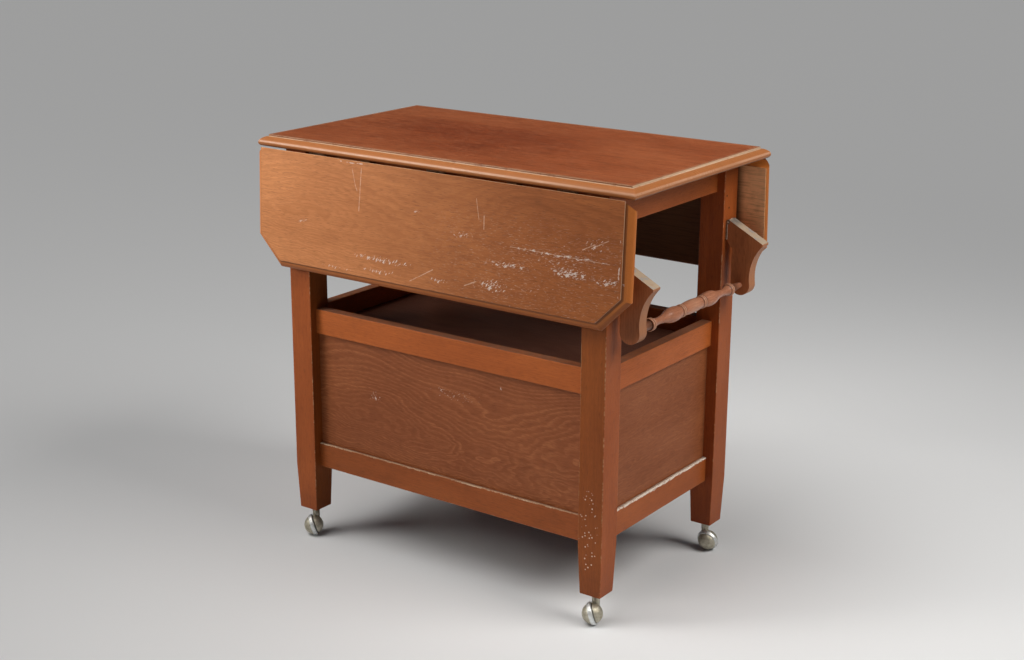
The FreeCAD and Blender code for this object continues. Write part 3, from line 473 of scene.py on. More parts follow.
# A patch of short pale strokes, all at one slant, that thin out towards the patch's rim
scuff, given, out = new_group(
    "scuff", [("Vector", VECTOR, None), ("Centre", VECTOR, None), ("Half Size", VECTOR, (0.1, 1.0, 0.02)),
              ("Slant", FLOAT, 0.0), ("Stroke", VECTOR, (60.0, 1.0, 260.0)), ("Density", FLOAT, 0.5)],
    [("Mark", FLOAT)])
tree = scuff
offset = vector_calc(tree, "SUBTRACT", given["Vector"], given["Centre"])
offset = vector_calc(tree, "MULTIPLY", offset, (1.0, 0.0, 1.0))
rim = measure(tree, "LENGTH", vector_calc(tree, "DIVIDE", offset, given["Half Size"]))
slanted = put(tree, "ShaderNodeVectorRotate", {"Vector": offset, "Angle": given["Slant"]},
              rotation_type="Y_AXIS").outputs[0]
strokes = noise(tree, vector_calc(tree, "MULTIPLY", slanted, given["Stroke"]), 1.0, 2.0, 0.6)
strokes = calc(tree, "ADD", strokes, calc(tree, "SUBTRACT", given["Density"], 0.5))
strokes = calc(tree, "SUBTRACT", strokes, times(tree, rim, 0.14))
mark = times(tree, ease(tree, strokes, 0.50, 0.56), ease(tree, rim, 1.25, 0.85))
tree.links.new(mark, out["Mark"])


def scuff_marks(tree, spot, patches, colour, within=1.0):
    """Lays scuffed patches, each given as its middle and half size in x and z, its slant, its strokes to the
    metre in x and z, its density and its strength."""
    laid = []
    for at_x, at_z, half_x, half_z, slant, strokes_x, strokes_z, density, strength in patches:
        mark = use(tree, scuff, {
            "Vector": spot, "Centre": (at_x, 0, at_z), "Half Size": (half_x, 1, half_z), "Slant": slant,
            "Stroke": (strokes_x, 1, strokes_z), "Density": density})["Mark"]
        laid.append((times(tree, mark, strength, within), colour, 0.2))
    return laid


PANEL_LIGHT, PANEL_DARK = (0.345, 0.120, 0.045), (0.202, 0.052, 0.0145)
PANEL_SCUFFS = [
    (-0.166, 0.296, 0.015, 0.010, 1.3, 170, 460, 0.49, 0.65),
    (-0.018, 0.340, 0.012, 0.004, 0.4, 170, 460, 0.51, 0.5),
    (0.105, 0.368, 0.007, 0.006, 1.2, 170, 460, 0.49, 0.55),
    (0.010, 0.335, 0.070, 0.016, 0.3, 170, 520, 0.44, 0.35),
]
END_SPECKS = [((0.30, 0.0, 0.29), (0.03, 0.16, 0.10), 0.018, 0.12)]
PANEL_FIGURE = {"front": dict(depth=0.020, wander=0.10, waver=0.026, ring=-0.5, base=0.30),
                "back": dict(depth=0.035, wander=0.10, waver=0.026, ring=-0.5, base=0.30),
                "left": dict(depth=0.15, wander=0.05, waver=0.03, ring=-0.22, base=0.38),
                "right": dict(depth=0.15, wander=0.05, waver=0.03, ring=-0.22, base=0.40)}
PANEL_MARKS = {"front": lambda tree, spot: scuff_marks(tree, spot, PANEL_SCUFFS, (0.70, 0.62, 0.56)),
               "right": speck_marks(END_SPECKS, (0.55, 0.45, 0.36), 0.4)}
for index, (side, turn) in enumerate(SIDES.items()):
    finish = oak(f"oak_panel_{side}", turn, (0.4 * index, 0.29 + 0.02 * index, 0.13 * index), PANEL_LIGHT,
                 PANEL_DARK, ring_width=0.0036, fibre=1.1, gloss=0.5, stain=(0.86, 0.82, 0.80),
                 marks=PANEL_MARKS.get(side), **PANEL_FIGURE[side])
    eased_piece(f"panel_{side}", "frame", finish, width=0)
BOARD_LIGHT, BOARD_DARK = (0.128, 0.052, 0.034), (0.070, 0.025, 0.0155)
for node, lift in (("tray_shelf", 0.0), ("base_board", 0.35)):
    finish = oak(f"oak_{node}", GRAIN_X_FLAT, (lift, 0.2, lift), BOARD_LIGHT, BOARD_DARK, ring=0.3,
                 ring_width=0.006, depth=0.08, wander=0.12, gloss=0.4)
    eased_piece(node, "frame", finish, width=0)

# Bearers, their middle rail and the glue blocks
# Unvarnished oak under the top, dulled with age: bars that slide out beneath a raised leaf, a rail that
# guides them, and blocks rubbed into the corners with glue.
RAW = dict(light=(0.30, 0.155, 0.075), dark=(0.16, 0.074, 0.034), ring=0.35, gloss=0.62, rubbed=0.3)
for index, corner in enumerate(CORNERS):
    finish = oak(f"raw_oak_bearer_{corner}", GRAIN_Y_EDGE, (0.2 * index, 0.3, 0.1 * index), **RAW)
    eased_piece(f"bearer_{corner}", "frame", finish, width=0.001)
for node in ("bearer_rail", "glue_blocks"):
    finish = oak(f"raw_oak_{node}", GRAIN_X_EDGE, (0.15, 0.6, 0.1), **RAW)
    eased_piece(node, "frame", finish, width=0.0008)

# Top
# A 19 mm oak board with a raised field and a thumb moulding that turns into a round nose on all four sides.
# Redder and darker than the frame, in soft blotches, with pale lines rubbed at the rim and foot of the step
# round the field. A painted highlight runs along the nose in a broken band and painted shade darkens its
# underside; the step's face is painted dark with shade, and pale with painted light where it faces the
# right-hand end.
TOP_LIGHT, TOP_DARK, TOP_STAIN = (0.385, 0.108, 0.036), (0.216, 0.056, 0.0180), (0.80, 0.72, 0.66)
DARK_MIDDLE, FLECKED, DUST = (0.70, 0.56, 0.46), (0.74, 0.66, 0.62), (0.52, 0.26, 0.155)
NOSE, NOSE_PAINTED_HIGHLIGHT, NOSE_UNDER_PAINTED_SHADE = (0.375, 0.145, 0.048), (0.62, 0.37, 0.25), (0.12, 0.04, 0.016)
STEP_PAINTED_SHADE, STEP_RIM = (0.170, 0.066, 0.027), (0.60, 0.40, 0.27)
STEP_END_PAINTED_LIGHT, STEP_LINE = (0.56, 0.40, 0.27), (0.64, 0.48, 0.34)
# Fine lines round the field: where each starts and ends, inwards from the edge, its strength and colour
FIELD_LINES = [(0.0016, 0.0028, 0.3, (0.110, 0.034, 0.014)), (0.0034, 0.0050, 0.3, (0.58, 0.36, 0.22))]
BORDER, STEP_HEIGHT = 0.0134, 0.003
low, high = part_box("top_board")
FIELD_MIDDLE = ((low.x + high.x) / 2, 0.0, 0.0)
FIELD_HALF = ((high.x - low.x) / 2 - BORDER, high.y - BORDER, 1.0)
UNDERSIDE, FACE, STEP_FOOT = low.z, high.z, high.z - STEP_HEIGHT


def top_marks(tree, spot):
    """The moulded edge with a painted highlight and painted shade on the nose, the step with painted shade
    on its face and painted light at the right-hand end, its pale lines, and the fine lines worn round the
    field.
    """
    away = vector_calc(tree, "ABSOLUTE", vector_calc(tree, "SUBTRACT", spot, FIELD_MIDDLE))
    inward = split(tree, vector_calc(tree, "SUBTRACT", FIELD_HALF, away))
    inside = calc(tree, "MINIMUM", inward["X"], inward["Y"])
    height = split(tree, spot)["Z"]
    ragged = noise(tree, spot, 55.0, 3.0, 0.6)
    broken = ease(tree, ragged, 0.3, 0.5, 0.25, 1.0)
    inside_ragged = calc(tree, "MULTIPLY_ADD", calc(tree, "SUBTRACT", ragged, 0.5), 0.002, inside)
    nose = ease(tree, inside, 0.0, -0.0006)
    endwise = looking(tree, (1.0, 0.0, 0.0), 0.3, 0.7)
    step = times(tree, ease(tree, inside, 0.0009, 0.0005), ease(tree, height, STEP_FOOT - 0.0001, STEP_FOOT))
    rim = times(tree, step, ease(tree, height, FACE - 0.0010, FACE - 0.0005))
    foot = times(tree, band(tree, height, STEP_FOOT - 0.0002, STEP_FOOT + 0.0003, 0.0003), broken)
    # Painted shade: the nose darkened along its underside
    under = ease(tree, height, UNDERSIDE + 0.003, UNDERSIDE + 0.0005)
    # Painted highlight: a pale broken band along the outermost part of the nose
    rubbed = times(tree, band(tree, height, UNDERSIDE + 0.0075, UNDERSIDE + 0.0092, 0.0016),
                   ease(tree, noise(tree, spot, 5.0), 0.3, 0.6, 0.35, 1.0))
    off_dark = vector_calc(tree, "SUBTRACT", spot, (-0.06, 0.01, 0.0))
    off_dark = measure(tree, "LENGTH", vector_calc(tree, "MULTIPLY", off_dark, (4.2, 6.2, 0.0)))
    off_dark = calc(tree, "MULTIPLY_ADD", noise(tree, spot, (7.0, 13.0, 7.0), 3.0), 0.9, off_dark)
    flecks = ease(tree, noise(tree, spot, (24.0, 170.0, 24.0), 3.0, 0.65), 0.46, 0.68, 0.0, 0.75)
    dusty = ease(tree, noise(tree, spot, (75.0, 480.0, 75.0), 2.0, 0.6), 0.54, 0.70, 0.0, 0.26)
    lines = [(times(tree, band(tree, inside_ragged, start, end, 0.0006), broken, share), colour, 0.0)
             for start, end, share, colour in FIELD_LINES]
    return [
        (ease(tree, off_dark, 1.7, 0.7), DARK_MIDDLE, 0.0, "MULTIPLY"),
        (flecks, FLECKED, 0.05, "MULTIPLY"),
        (dusty, DUST, 0.08),
        *lines,
        (times(tree, nose, 0.75), NOSE, -0.12),
        (times(tree, rubbed, nose, 0.55), NOSE_PAINTED_HIGHLIGHT, -0.06),
        # Painted shade darkens the step's face, and painted light makes it pale where it faces the right-hand
        # end
        (times(tree, step, 0.8), STEP_PAINTED_SHADE, 0.0),
        (times(tree, rim, broken, 0.6), STEP_RIM, 0.0),
        (times(tree, step, endwise, 0.75), STEP_END_PAINTED_LIGHT, 0.1),
        (times(tree, foot, 0.65), STEP_LINE, 0.1),
        (times(tree, under, 0.8), NOSE_UNDER_PAINTED_SHADE, 0.1),
    ]


MOULDED_ARRIS, MOULDED_REACH = 0.0007, 0.0035
finish = oak("oak_top", GRAIN_X_FLAT, (0.2, 0.06, 0.0), TOP_LIGHT, TOP_DARK, ring=0.3, ring_width=0.007,
             depth=0.11, wander=0.08, waver=0.014, fibre=3.0, pore=0.55, stain=TOP_STAIN, patch=0.24,
             rubbed=0.0, gloss=0.36, marks=top_marks)
eased_piece("top_board", "frame", finish, MOULDED_ARRIS, MOULDED_REACH)

# Leaves
# Two boards like the top, with the same moulding on three sides, clipped corners and a cove along the joint.
# The front one is scuffed through the varnish in pale strokes and has a few long scratches; both are dull
# inside. Both are painted darker towards the right-hand end as a falloff of light, their moulded edges carry
# painted shade underneath and in the quirk, and inside they are painted dark with shade and paler with light
# towards the ends.

# One long scratch between two points of the leaf's face
scratch, given, out = new_group(
    "scratch", [("Vector", VECTOR, None), ("From", VECTOR, None), ("To", VECTOR, None),
                ("Width", FLOAT, 0.001)],
    [("Mark", FLOAT)])
tree, at = scratch, given["Vector"]
flat = vector_calc(tree, "MULTIPLY", at, (1.0, 0.0, 1.0))
line = vector_calc(tree, "SUBTRACT", given["To"], given["From"])
reach = vector_calc(tree, "SUBTRACT", flat, given["From"])
part_way = calc(tree, "DIVIDE", along(tree, reach, line), along(tree, line, line), clamp=True)
foot = scaled(tree, line, part_way)
off = measure(tree, "DISTANCE", reach, foot)
ragged = times(tree, given["Width"], ease(tree, noise(tree, at, 160.0), 0.3, 0.6, 0.15, 1.2))
tree.links.new(ease(tree, calc(tree, "SUBTRACT", off, ragged), 0.0004, 0.0), out["Mark"])

LEAF_LIGHT, LEAF_DARK, LEAF_BARE = (0.697, 0.294, 0.118), (0.447, 0.168, 0.059), (0.66, 0.47, 0.32)
PALE, SCRATCHED, LEAF_PAINTED_FALLOFF = (0.72, 0.65, 0.60), (0.70, 0.52, 0.40), (0.50, 0.38, 0.26)
LEAF_EDGE, EDGE_UNDERSIDE_PAINTED_SHADE, EDGE_RUBBED = (0.555, 0.170, 0.032), (0.62, 0.55, 0.50), (0.60, 0.40, 0.26)
EDGE_QUIRK_PAINTED_SHADE, INNER_DULL_AND_PAINTED_SHADE = (0.120, 0.042, 0.016), (0.120, 0.052, 0.022)
INNER_ENDS_PAINTED_LIGHT, INNER_STREAK = (0.980, 0.520, 0.255), (0.42, 0.36, 0.32)
# Each scratch: from (x, z) to (x, z) and its width
SCRATCHES = [
    ((-0.150, 0.710), (-0.155, 0.638), 0.0007), ((-0.170, 0.707), (-0.163, 0.680), 0.0004),
    ((-0.163, 0.680), (-0.159, 0.671), 0.0004), ((0.088, 0.690), (0.094, 0.657), 0.0003),
    ((0.104, 0.664), (0.104, 0.643), 0.0006), ((-0.044, 0.536), (0.003, 0.562), 0.0006),
    ((0.068, 0.546), (0.090, 0.556), 0.0006), ((0.156, 0.6225), (0.340, 0.6215), 0.0002),
    ((0.290, 0.637), (0.312, 0.648), 0.0005), ((0.306, 0.641), (0.336, 0.657), 0.0004),
]
LEAF_SCUFFS = [
    (-0.100, 0.562, 0.062, 0.0055, 0.85, 110, 400, 0.53, 0.7),
    (-0.206, 0.535, 0.042, 0.0035, 0.7, 130, 430, 0.50, 0.55),
    (-0.108, 0.542, 0.038, 0.005, 0.85, 110, 400, 0.52, 0.65),
    (0.061, 0.628, 0.024, 0.007, 0.2, 170, 480, 0.50, 0.5),
    (0.250, 0.622, 0.100, 0.0035, 0.05, 110, 480, 0.52, 0.65),
    (0.313, 0.647, 0.032, 0.014, 0.5, 120, 420, 0.47, 0.55),
    (0.250, 0.612, 0.130, 0.030, 0.15, 140, 520, 0.43, 0.4),
    (0.151, 0.592, 0.045, 0.0055, 0.15, 130, 480, 0.53, 0.65),
    (0.267, 0.596, 0.034, 0.008, 0.2, 140, 440, 0.56, 0.7),
    (0.338, 0.593, 0.026, 0.007, 0.2, 140, 440, 0.54, 0.65),
    (0.120, 0.554, 0.034, 0.011, 0.6, 120, 400, 0.53, 0.7),
    (0.016, 0.546, 0.022, 0.0045, 0.6, 130, 420, 0.53, 0.6),
    (0.200, 0.560, 0.130, 0.022, 0.2, 140, 520, 0.40, 0.35),
    (-0.284, 0.605, 0.014, 0.004, 0.1, 150, 420, 0.52, 0.5),
    (-0.033, 0.654, 0.008, 0.003, 0.1, 150, 420, 0.54, 0.5),
    (-0.168, 0.717, 0.032, 0.0014, 0.0, 90, 300, 0.56, 0.6),
    (0.357, 0.620, 0.0022, 0.055, 0.0, 300, 90, 0.52, 0.6),
]
JOINTS = {joint["child"]: joint for joint in frame["record"]["behaviour"]["joints"]}
LEAF_LEAN = math.radians(87.5)


def leaf_stand(side):
    """A point of a leaf's pin line, and the ways down the hanging leaf and out through its thickness."""
    out_way = -1.0 if side == "front" else 1.0
    down = Vector((0.0, out_way * math.cos(LEAF_LEAN), -math.sin(LEAF_LEAN)))
    outward = Vector((0.0, out_way * math.sin(LEAF_LEAN), math.cos(LEAF_LEAN)))
    return Vector(JOINTS[f"leaf_{side}"]["pos_m"]), down, outward


def leaf_marks(side):
    """Marks in the leaf's own thickness: painted falloff of light along the leaf, dull inner face with
    painted shade in the middle and painted light at the ends, moulded edge with painted shade under it and in
    its quirk, and the strokes on the front one.
    """
    pin, _, outward = leaf_stand(side)

    def marks(tree, spot):
        level = along(tree, vector_calc(tree, "SUBTRACT", spot, pin), outward)
        place = split(tree, spot)
        ragged = noise(tree, spot, 70.0, 3.0, 0.6)
        broken = ease(tree, ragged, 0.3, 0.5, 0.4, 1.0)
        edge = ease(tree, level, 0.0176, 0.0170)
        downward = looking(tree, (0.0, 0.0, -1.0), 0.1, 0.5)
        inner = ease(tree, level, 0.0024, 0.0018)
        from_middle = calc(tree, "ABSOLUTE", calc(tree, "SUBTRACT", place["X"], pin.x))
        # Painted light: the inner face is painted paler towards the ends, where light reaches it
        lit_ends = times(tree, inner, ease(tree, from_middle, 0.325, 0.345))
        lit_ends = times(tree, lit_ends, ease(tree, ragged, 0.2, 0.6, 0.7, 0.9))
        streaks = ease(tree, noise(tree, spot, (22.0, 520.0, 520.0), 3.0, 0.6), 0.46, 0.64, 0.0, 0.5)
        laid = [
            # Painted falloff of light: darker towards the right-hand end
            (ease(tree, place["X"], -0.42, 0.28), LEAF_PAINTED_FALLOFF, 0.0, "MULTIPLY"),
            (times(tree, edge, 0.6), LEAF_EDGE, -0.04),
            # Painted shade on the moulded edge where it faces down
            (times(tree, edge, downward), EDGE_UNDERSIDE_PAINTED_SHADE, 0.0, "MULTIPLY"),
            # Painted shade in the quirk where the moulded edge begins
            (times(tree, band(tree, level, 0.0168, 0.0174, 0.0003), 0.6), EDGE_QUIRK_PAINTED_SHADE, 0.0),
            (times(tree, band(tree, level, 0.0178, 0.0198, 0.0003), broken, 0.5), EDGE_RUBBED, 0.1),
            # The inner face: dull, and painted dark with shade
            (times(tree, inner, 0.9), INNER_DULL_AND_PAINTED_SHADE, 0.15),
            (lit_ends, INNER_ENDS_PAINTED_LIGHT, 0.1),
            (times(tree, inner, streaks), INNER_STREAK, 0.0, "MULTIPLY"),
        ]
        if side == "back":
            return laid
        outer = ease(tree, level, 0.010, 0.012)
        low_right = times(tree, ease(tree, place["X"], -0.10, 0.14), ease(tree, place["Z"], 0.70, 0.63))
        filled = ease(tree, noise(tree, spot, (130.0, 1.0, 800.0), 2.0, 0.6), 0.58, 0.72, 0.0, 0.2)
        filled = times(tree, filled, ease(tree, level, 0.0190, 0.0200))
        laid.append((times(tree, low_right, filled), PALE, 0.1))
        for (from_x, from_z), (to_x, to_z), width in SCRATCHES:
            mark = use(tree, scratch, {"Vector": spot, "From": (from_x, 0, from_z), "To": (to_x, 0, to_z),
                                       "Width": width})["Mark"]
            laid.append((times(tree, mark, outer, 0.42), SCRATCHED, 0.2))
        return laid + scuff_marks(tree, spot, LEAF_SCUFFS, PALE, outer)
    return marks


for side, shift in (("front", 0.0), ("back", 0.4)):
    finish = oak(f"oak_leaf_{side}", GRAIN_X_EDGE, (shift + 0.1, 0.65, 0.05 + shift), LEAF_LIGHT, LEAF_DARK,
                 ring=0.32, ring_width=0.0045, depth=0.04, wander=0.10, waver=0.022, fibre=2.0, pore=0.4,
                 rubbed=0.52, bare=LEAF_BARE, marks=leaf_marks(side))
    eased_piece(f"leaf_{side}", f"leaf_{side}", finish, MOULDED_ARRIS, MOULDED_REACH)

# Leaf hinges
# Three steel back-flap hinges to a leaf: the short flap let in flush under the top, the long one on the
# leaf's face. Gone dull and brown, and fixed with slotted countersunk screws.


def metal(name, bright, dull, shine, metallic=1.0, scale=60.0):
    """Old metal: brighter where it is rubbed, darker and rougher in cloudy patches."""
    made, tree, spot = new_material(name)
    fine = noise(tree, spot, scale * 9)
    clouds = times(tree, noise(tree, spot, scale, 4.0, 0.65), 0.7)
    tarnish = ease(tree, calc(tree, "MULTIPLY_ADD", fine, 0.3, clouds), 0.38, 0.66)
    rubbed = times(tree, attribute(tree, "arris"), 0.5)
    tarnish = calc(tree, "SUBTRACT", tarnish, rubbed, clamp=True)
    rough = calc(tree, "MULTIPLY_ADD", tarnish, 0.25, shine)
    surface(tree, blend(tree, tarnish, bright, dull), rough, fine, 0.2, 0.0002, {"Metallic": metallic})
    return made


hinge_steel = metal("dulled_hinge_steel", (0.34, 0.28, 0.22), (0.13, 0.095, 0.065), shine=0.42)
for side in ("front", "back"):
    eased_piece(f"hinge_top_flaps_{side}", "frame", hinge_steel, width=0.0003)
    eased_piece(f"hinge_pins_{side}", "frame", hinge_steel, width=0)
    eased_piece(f"hinge_leaf_flaps_{side}", f"leaf_{side}", hinge_steel, width=0.0003)

# One slotted screw head on each point, facing the way the point says, its slot left at any angle
tree = screw_heads = bpy.data.node_groups.new("screw_heads", "GeometryNodeTree")
screw_inputs = {}
for label, kind in (("Geometry", "Geometry"), ("Head Radius", "Float"), ("Head Rise", "Float"),
                    ("Slot Width", "Float"), ("Seed", "Int"), ("Finish", "Material")):
    socket = tree.interface.new_socket(label, in_out="INPUT", socket_type=f"NodeSocket{kind}")
    screw_inputs[label] = socket.identifier
tree.interface.new_socket("Geometry", in_out="OUTPUT", socket_type="NodeSocketGeometry")
given = tree.nodes.new("NodeGroupInput").outputs
radius, rise = given["Head Radius"], given["Head Rise"]
head = put(tree, "GeometryNodeMeshCone", {
    "Vertices": 14, "Radius Bottom": radius, "Radius Top": times(tree, radius, 0.86),
    "Depth": times(tree, rise, 2.0)}).outputs["Mesh"]
sink = joined(tree, Z=times(tree, rise, -1.0))
head = put(tree, "GeometryNodeTransform", {"Geometry": head, "Translation": sink}).outputs[0]
slot_size = joined(tree, X=times(tree, radius, 4.0), Y=given["Slot Width"], Z=times(tree, rise, 1.6))
slot_cut = put(tree, "GeometryNodeMeshCube", {"Size": slot_size}).outputs["Mesh"]
slot_cut = put(tree, "GeometryNodeTransform", {
    "Geometry": slot_cut, "Translation": joined(tree, Z=rise)}).outputs[0]
head = put(tree, "GeometryNodeMeshBoolean", {"Mesh 1": head, "Mesh 2": slot_cut},
           operation="DIFFERENCE").outputs[0]
aim = put(tree, "GeometryNodeInputNamedAttribute", {"Name": "facing"}, data_type="FLOAT_VECTOR").outputs[0]
aim = put(tree, "FunctionNodeAlignRotationToVector", {"Vector": aim}, axis="Z").outputs[0]
twist = put(tree, "FunctionNodeRandomValue", {"Seed": given["Seed"], 2: 0.0, 3: math.pi}, data_type="FLOAT")
twist = put(tree, "FunctionNodeAxisAngleToRotation", {
    "Axis": (0.0, 0.0, 1.0), "Angle": twist.outputs[1]}).outputs[0]
aim = put(tree, "FunctionNodeRotateRotation", {"Rotation": aim, "Rotate By": twist},
          rotation_space="LOCAL").outputs[0]
heads = put(tree, "GeometryNodeInstanceOnPoints", {
    "Points": given["Geometry"], "Instance": head, "Rotation": aim}).outputs[0]
heads = put(tree, "GeometryNodeRealizeInstances", {"Geometry": heads}).outputs[0]
heads = put(tree, "GeometryNodeSetMaterial", {"Geometry": heads, "Material": given["Finish"]}).outputs[0]
tree.links.new(heads, tree.nodes.new("NodeGroupOutput").inputs[0])


def screws(name, body, places, finish, radius, rise, seed):
    """Screw heads at the places, each given as a point and the way it faces."""
    points = bpy.data.meshes.new(f"{name}_points")
    points.from_pydata([at for at, _ in places], [], [])
    ways = points.attributes.new("facing", "FLOAT_VECTOR", "POINT")
    for index, (_, way) in enumerate(places):
        ways.data[index].vector = way
    piece = bpy.data.objects.new(name, points)
    bpy.context.scene.collection.objects.link(piece)
    made = piece.modifiers.new("screw_heads", "NODES")
    made.node_group = screw_heads
    for label, value in (("Head Radius", radius), ("Head Rise", rise), ("Slot Width", radius * 0.26),
                         ("Seed", seed), ("Finish", finish)):
        made[screw_inputs[label]] = value
    mesh = bpy.data.meshes.new_from_object(piece.evaluated_get(bpy.context.evaluated_depsgraph_get()))
    piece.modifiers.remove(made)
    piece.data = mesh
    mesh.name = f"{name}_mesh"
    bpy.data.meshes.remove(points)
    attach(piece, body)
    return piece


screw_steel = metal("darkened_screw_steel", (0.38, 0.34, 0.29), (0.17, 0.13, 0.10), shine=0.42, scale=90.0)
# How far the outer hinges stand from the middle one, and how far out the screws of the top flaps are
HINGE_STEP, TOP_SCREWS_OUT = 0.255, 0.1965
for index, (side, out_way) in enumerate((("front", -1.0), ("back", 1.0))):
    pin, down, outward = leaf_stand(side)
    middles = [pin.x + HINGE_STEP * step for step in (-1, 0, 1)]
    on_leaf = [(Vector((x + across, pin.y, pin.z)) + down * away - outward * 0.0005, -outward)
               for x in middles for across in (-0.011, 0.011) for away in (0.018, 0.042)]
    screws(f"leaf_screws_{side}", f"leaf_{side}", on_leaf, screw_steel,
           radius=0.0036, rise=0.0004, seed=3 + index)
    under_top = [(Vector((x + across, out_way * TOP_SCREWS_OUT, UNDERSIDE)), Vector((0, 0, -1)))
                 for x in middles for across in (-0.012, 0.0, 0.012)]
    screws(f"top_screws_{side}", "frame", under_top, screw_steel,
           radius=0.0032, rise=0.0004, seed=7 + index)

# Handle brackets
# Two boards of darker oak, sawn to shape and hinged to the right-hand legs. Their sloping upper edges are
# bare, pale and greyed where they come against the legs, and the hollow edge below is rubbed.
BRACKET_LIGHT, BRACKET_DARK, BRACKET_RIM = (0.480, 0.158, 0.057), (0.310, 0.095, 0.033), (0.36, 0.185, 0.100)
SLOPE_BARE, SLOPE_GREY, SLOPE_BLACK = (0.42, 0.33, 0.24), (0.27, 0.29, 0.31), (0.10, 0.10, 0.10)
SLOPE_WAY = (0.454, 0.0, 0.891)


def bracket_marks(tree, spot):
    """Bare greyed wood on the sloping edge that butts against the leg, and a paler hollow edge."""
    upper = looking(tree, SLOPE_WAY, 0.9, 0.97)
    patch = noise(tree, spot, 90.0, 3.0)
    bare = times(tree, upper, ease(tree, patch, 0.25, 0.5, 0.5, 0.95))
    grey = times(tree, upper, ease(tree, noise(tree, spot, 60.0), 0.54, 0.64, 0.0, 0.6))
    side_on = calc(tree, "ABSOLUTE", facing(tree, (0.0, 1.0, 0.0)))
    rim = times(tree, ease(tree, side_on, 0.6, 0.4), 0.55)
    near_leg = ease(tree, split(tree, spot)["X"], 0.352, 0.332)
    dark = times(tree, upper, near_leg, ease(tree, patch, 0.3, 0.6, 0.25, 0.85))
    return [(rim, BRACKET_RIM, 0.05), (bare, SLOPE_BARE, 0.2), (grey, SLOPE_GREY, 0.0),
            (dark, SLOPE_BLACK, 0.0)]


# Painted light: the back bracket's colour is raised and the front one's lowered for the light each gets
for index, (side, shade) in enumerate((("front", 0.93), ("back", 1.12))):
    finish = oak(f"oak_bracket_{side}", GRAIN_Z, (0.4 + 0.2 * index, 0.3, 0.2 * index),
                 shaded(BRACKET_LIGHT, shade), shaded(BRACKET_DARK, shade), ring=0.3, depth=0.1, wander=0.06,
                 rubbed=0.5, marks=bracket_marks)
    eased_piece(f"handle_bracket_{side}", "handle", finish, width=0.0012, reach=0.05)

# Handle hinges
# A narrow steel butt hinge at the head of each bracket, one flap screwed to the leg's face and the other to
# the bracket. The leg flaps have gone dull, and the barrel is worn pale above the closed flaps.
worn_steel = metal("worn_hinge_steel", (0.80, 0.70, 0.57), (0.50, 0.41, 0.32), shine=0.40,
                   metallic=0.25, scale=120.0)
for flap, body, finish in (("leg_flaps", "frame", hinge_steel), ("pins", "frame", worn_steel),
                           ("bracket_flaps", "handle", worn_steel)):
    eased_piece(f"handle_hinge_{flap}", body, finish, width=0.0002)
LEG_FLAP = 0.0016
pin = Vector(JOINTS["handle"]["pos_m"])
leg_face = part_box("leg_front_right")[1].x
low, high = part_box("handle_bracket_back")
lines = [out_way * (low.y + high.y) / 2 for out_way in (-1.0, 1.0)]
on_legs = [(Vector((leg_face + LEG_FLAP, y, pin.z - below)), Vector((1, 0, 0)))
           for y in lines for below in (0.012, 0.024)]
screws("handle_leg_screws", "frame", on_legs, screw_steel,
       radius=0.0028, rise=0.0002, seed=11)

# Handle rail
# Oak turned in one length: a swelling barrel between beads, a vase each side, necks, flares, beads and
# tapered ends that are glued into the brackets. Dark stain lies in the quirks, and the beads' crests are
# rubbed lighter.
low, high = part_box("handle_rail")
RAIL_AXIS = Vector(((low.x + high.x) / 2, 0.0, (low.z + high.z) / 2))
RAIL_END = high.y
# Each length of the outline: distance from the middle, radius, and how far it swells on the way to the next
OUTLINE = [
    (0.029, 0.0095, 0.0015), (0.0335, 0.0095, 0.0015), (0.038, 0.0095, 0.0021),
    (0.072, 0.0112, -0.0009), (0.099, 0.0059, -0.0013), (0.124, 0.0092, 0.0015),
    (0.1285, 0.0092, 0.0015), (0.133, 0.0092, 0.0), (0.133, 0.0079, 0.0),
    (RAIL_END - 0.0122, 0.0046, 0.0), (RAIL_END - 0.012, 0.0035, 0.0), (RAIL_END, 0.0035, 0.0),
]
BEADS, BEAD_ENDS = (0.029, 0.0335, 0.124, 0.1285), (0.038, 0.133)


def bowed(start, end, swell, steps):
    """Points of a shallow arc from start to end, without its end, each with its share of the way."""
    points = []
    for step in range(steps):
        share = step / steps
        bow = swell * 4 * share * (1 - share)
        at, thick = (first + (last - first) * share for first, last in zip(start, end))
        points.append((at, thick + bow, share))
    return points


half_outline = []
for (at, size, swell), following in zip(OUTLINE, OUTLINE[1:]):
    bead = at in BEADS
    for along_rail, thick, share in bowed((at, size), following, swell, 10 if swell else 1):
        quirk = 1.0 if share == 0 and at in BEADS + BEAD_ENDS else 0.0
        crest = max(0.0, 1.0 - abs(share - 0.5) * 3.0) if bead else 0.0
        half_outline.append((along_rail, thick, quirk, crest))
half_outline.append((RAIL_END, OUTLINE[-1][1], 0.0, 0.0))
barrel = [(at, thick, 0.0, 0.3 * (1 - abs(share - 0.5) * 2))
          for at, thick, share in bowed((-0.029, 0.0095), (0.029, 0.0095), 0.0018, 20)][1:]
other_half = [(-at, *values) for at, *values in reversed(half_outline)]
outline = other_half + barrel + half_outline


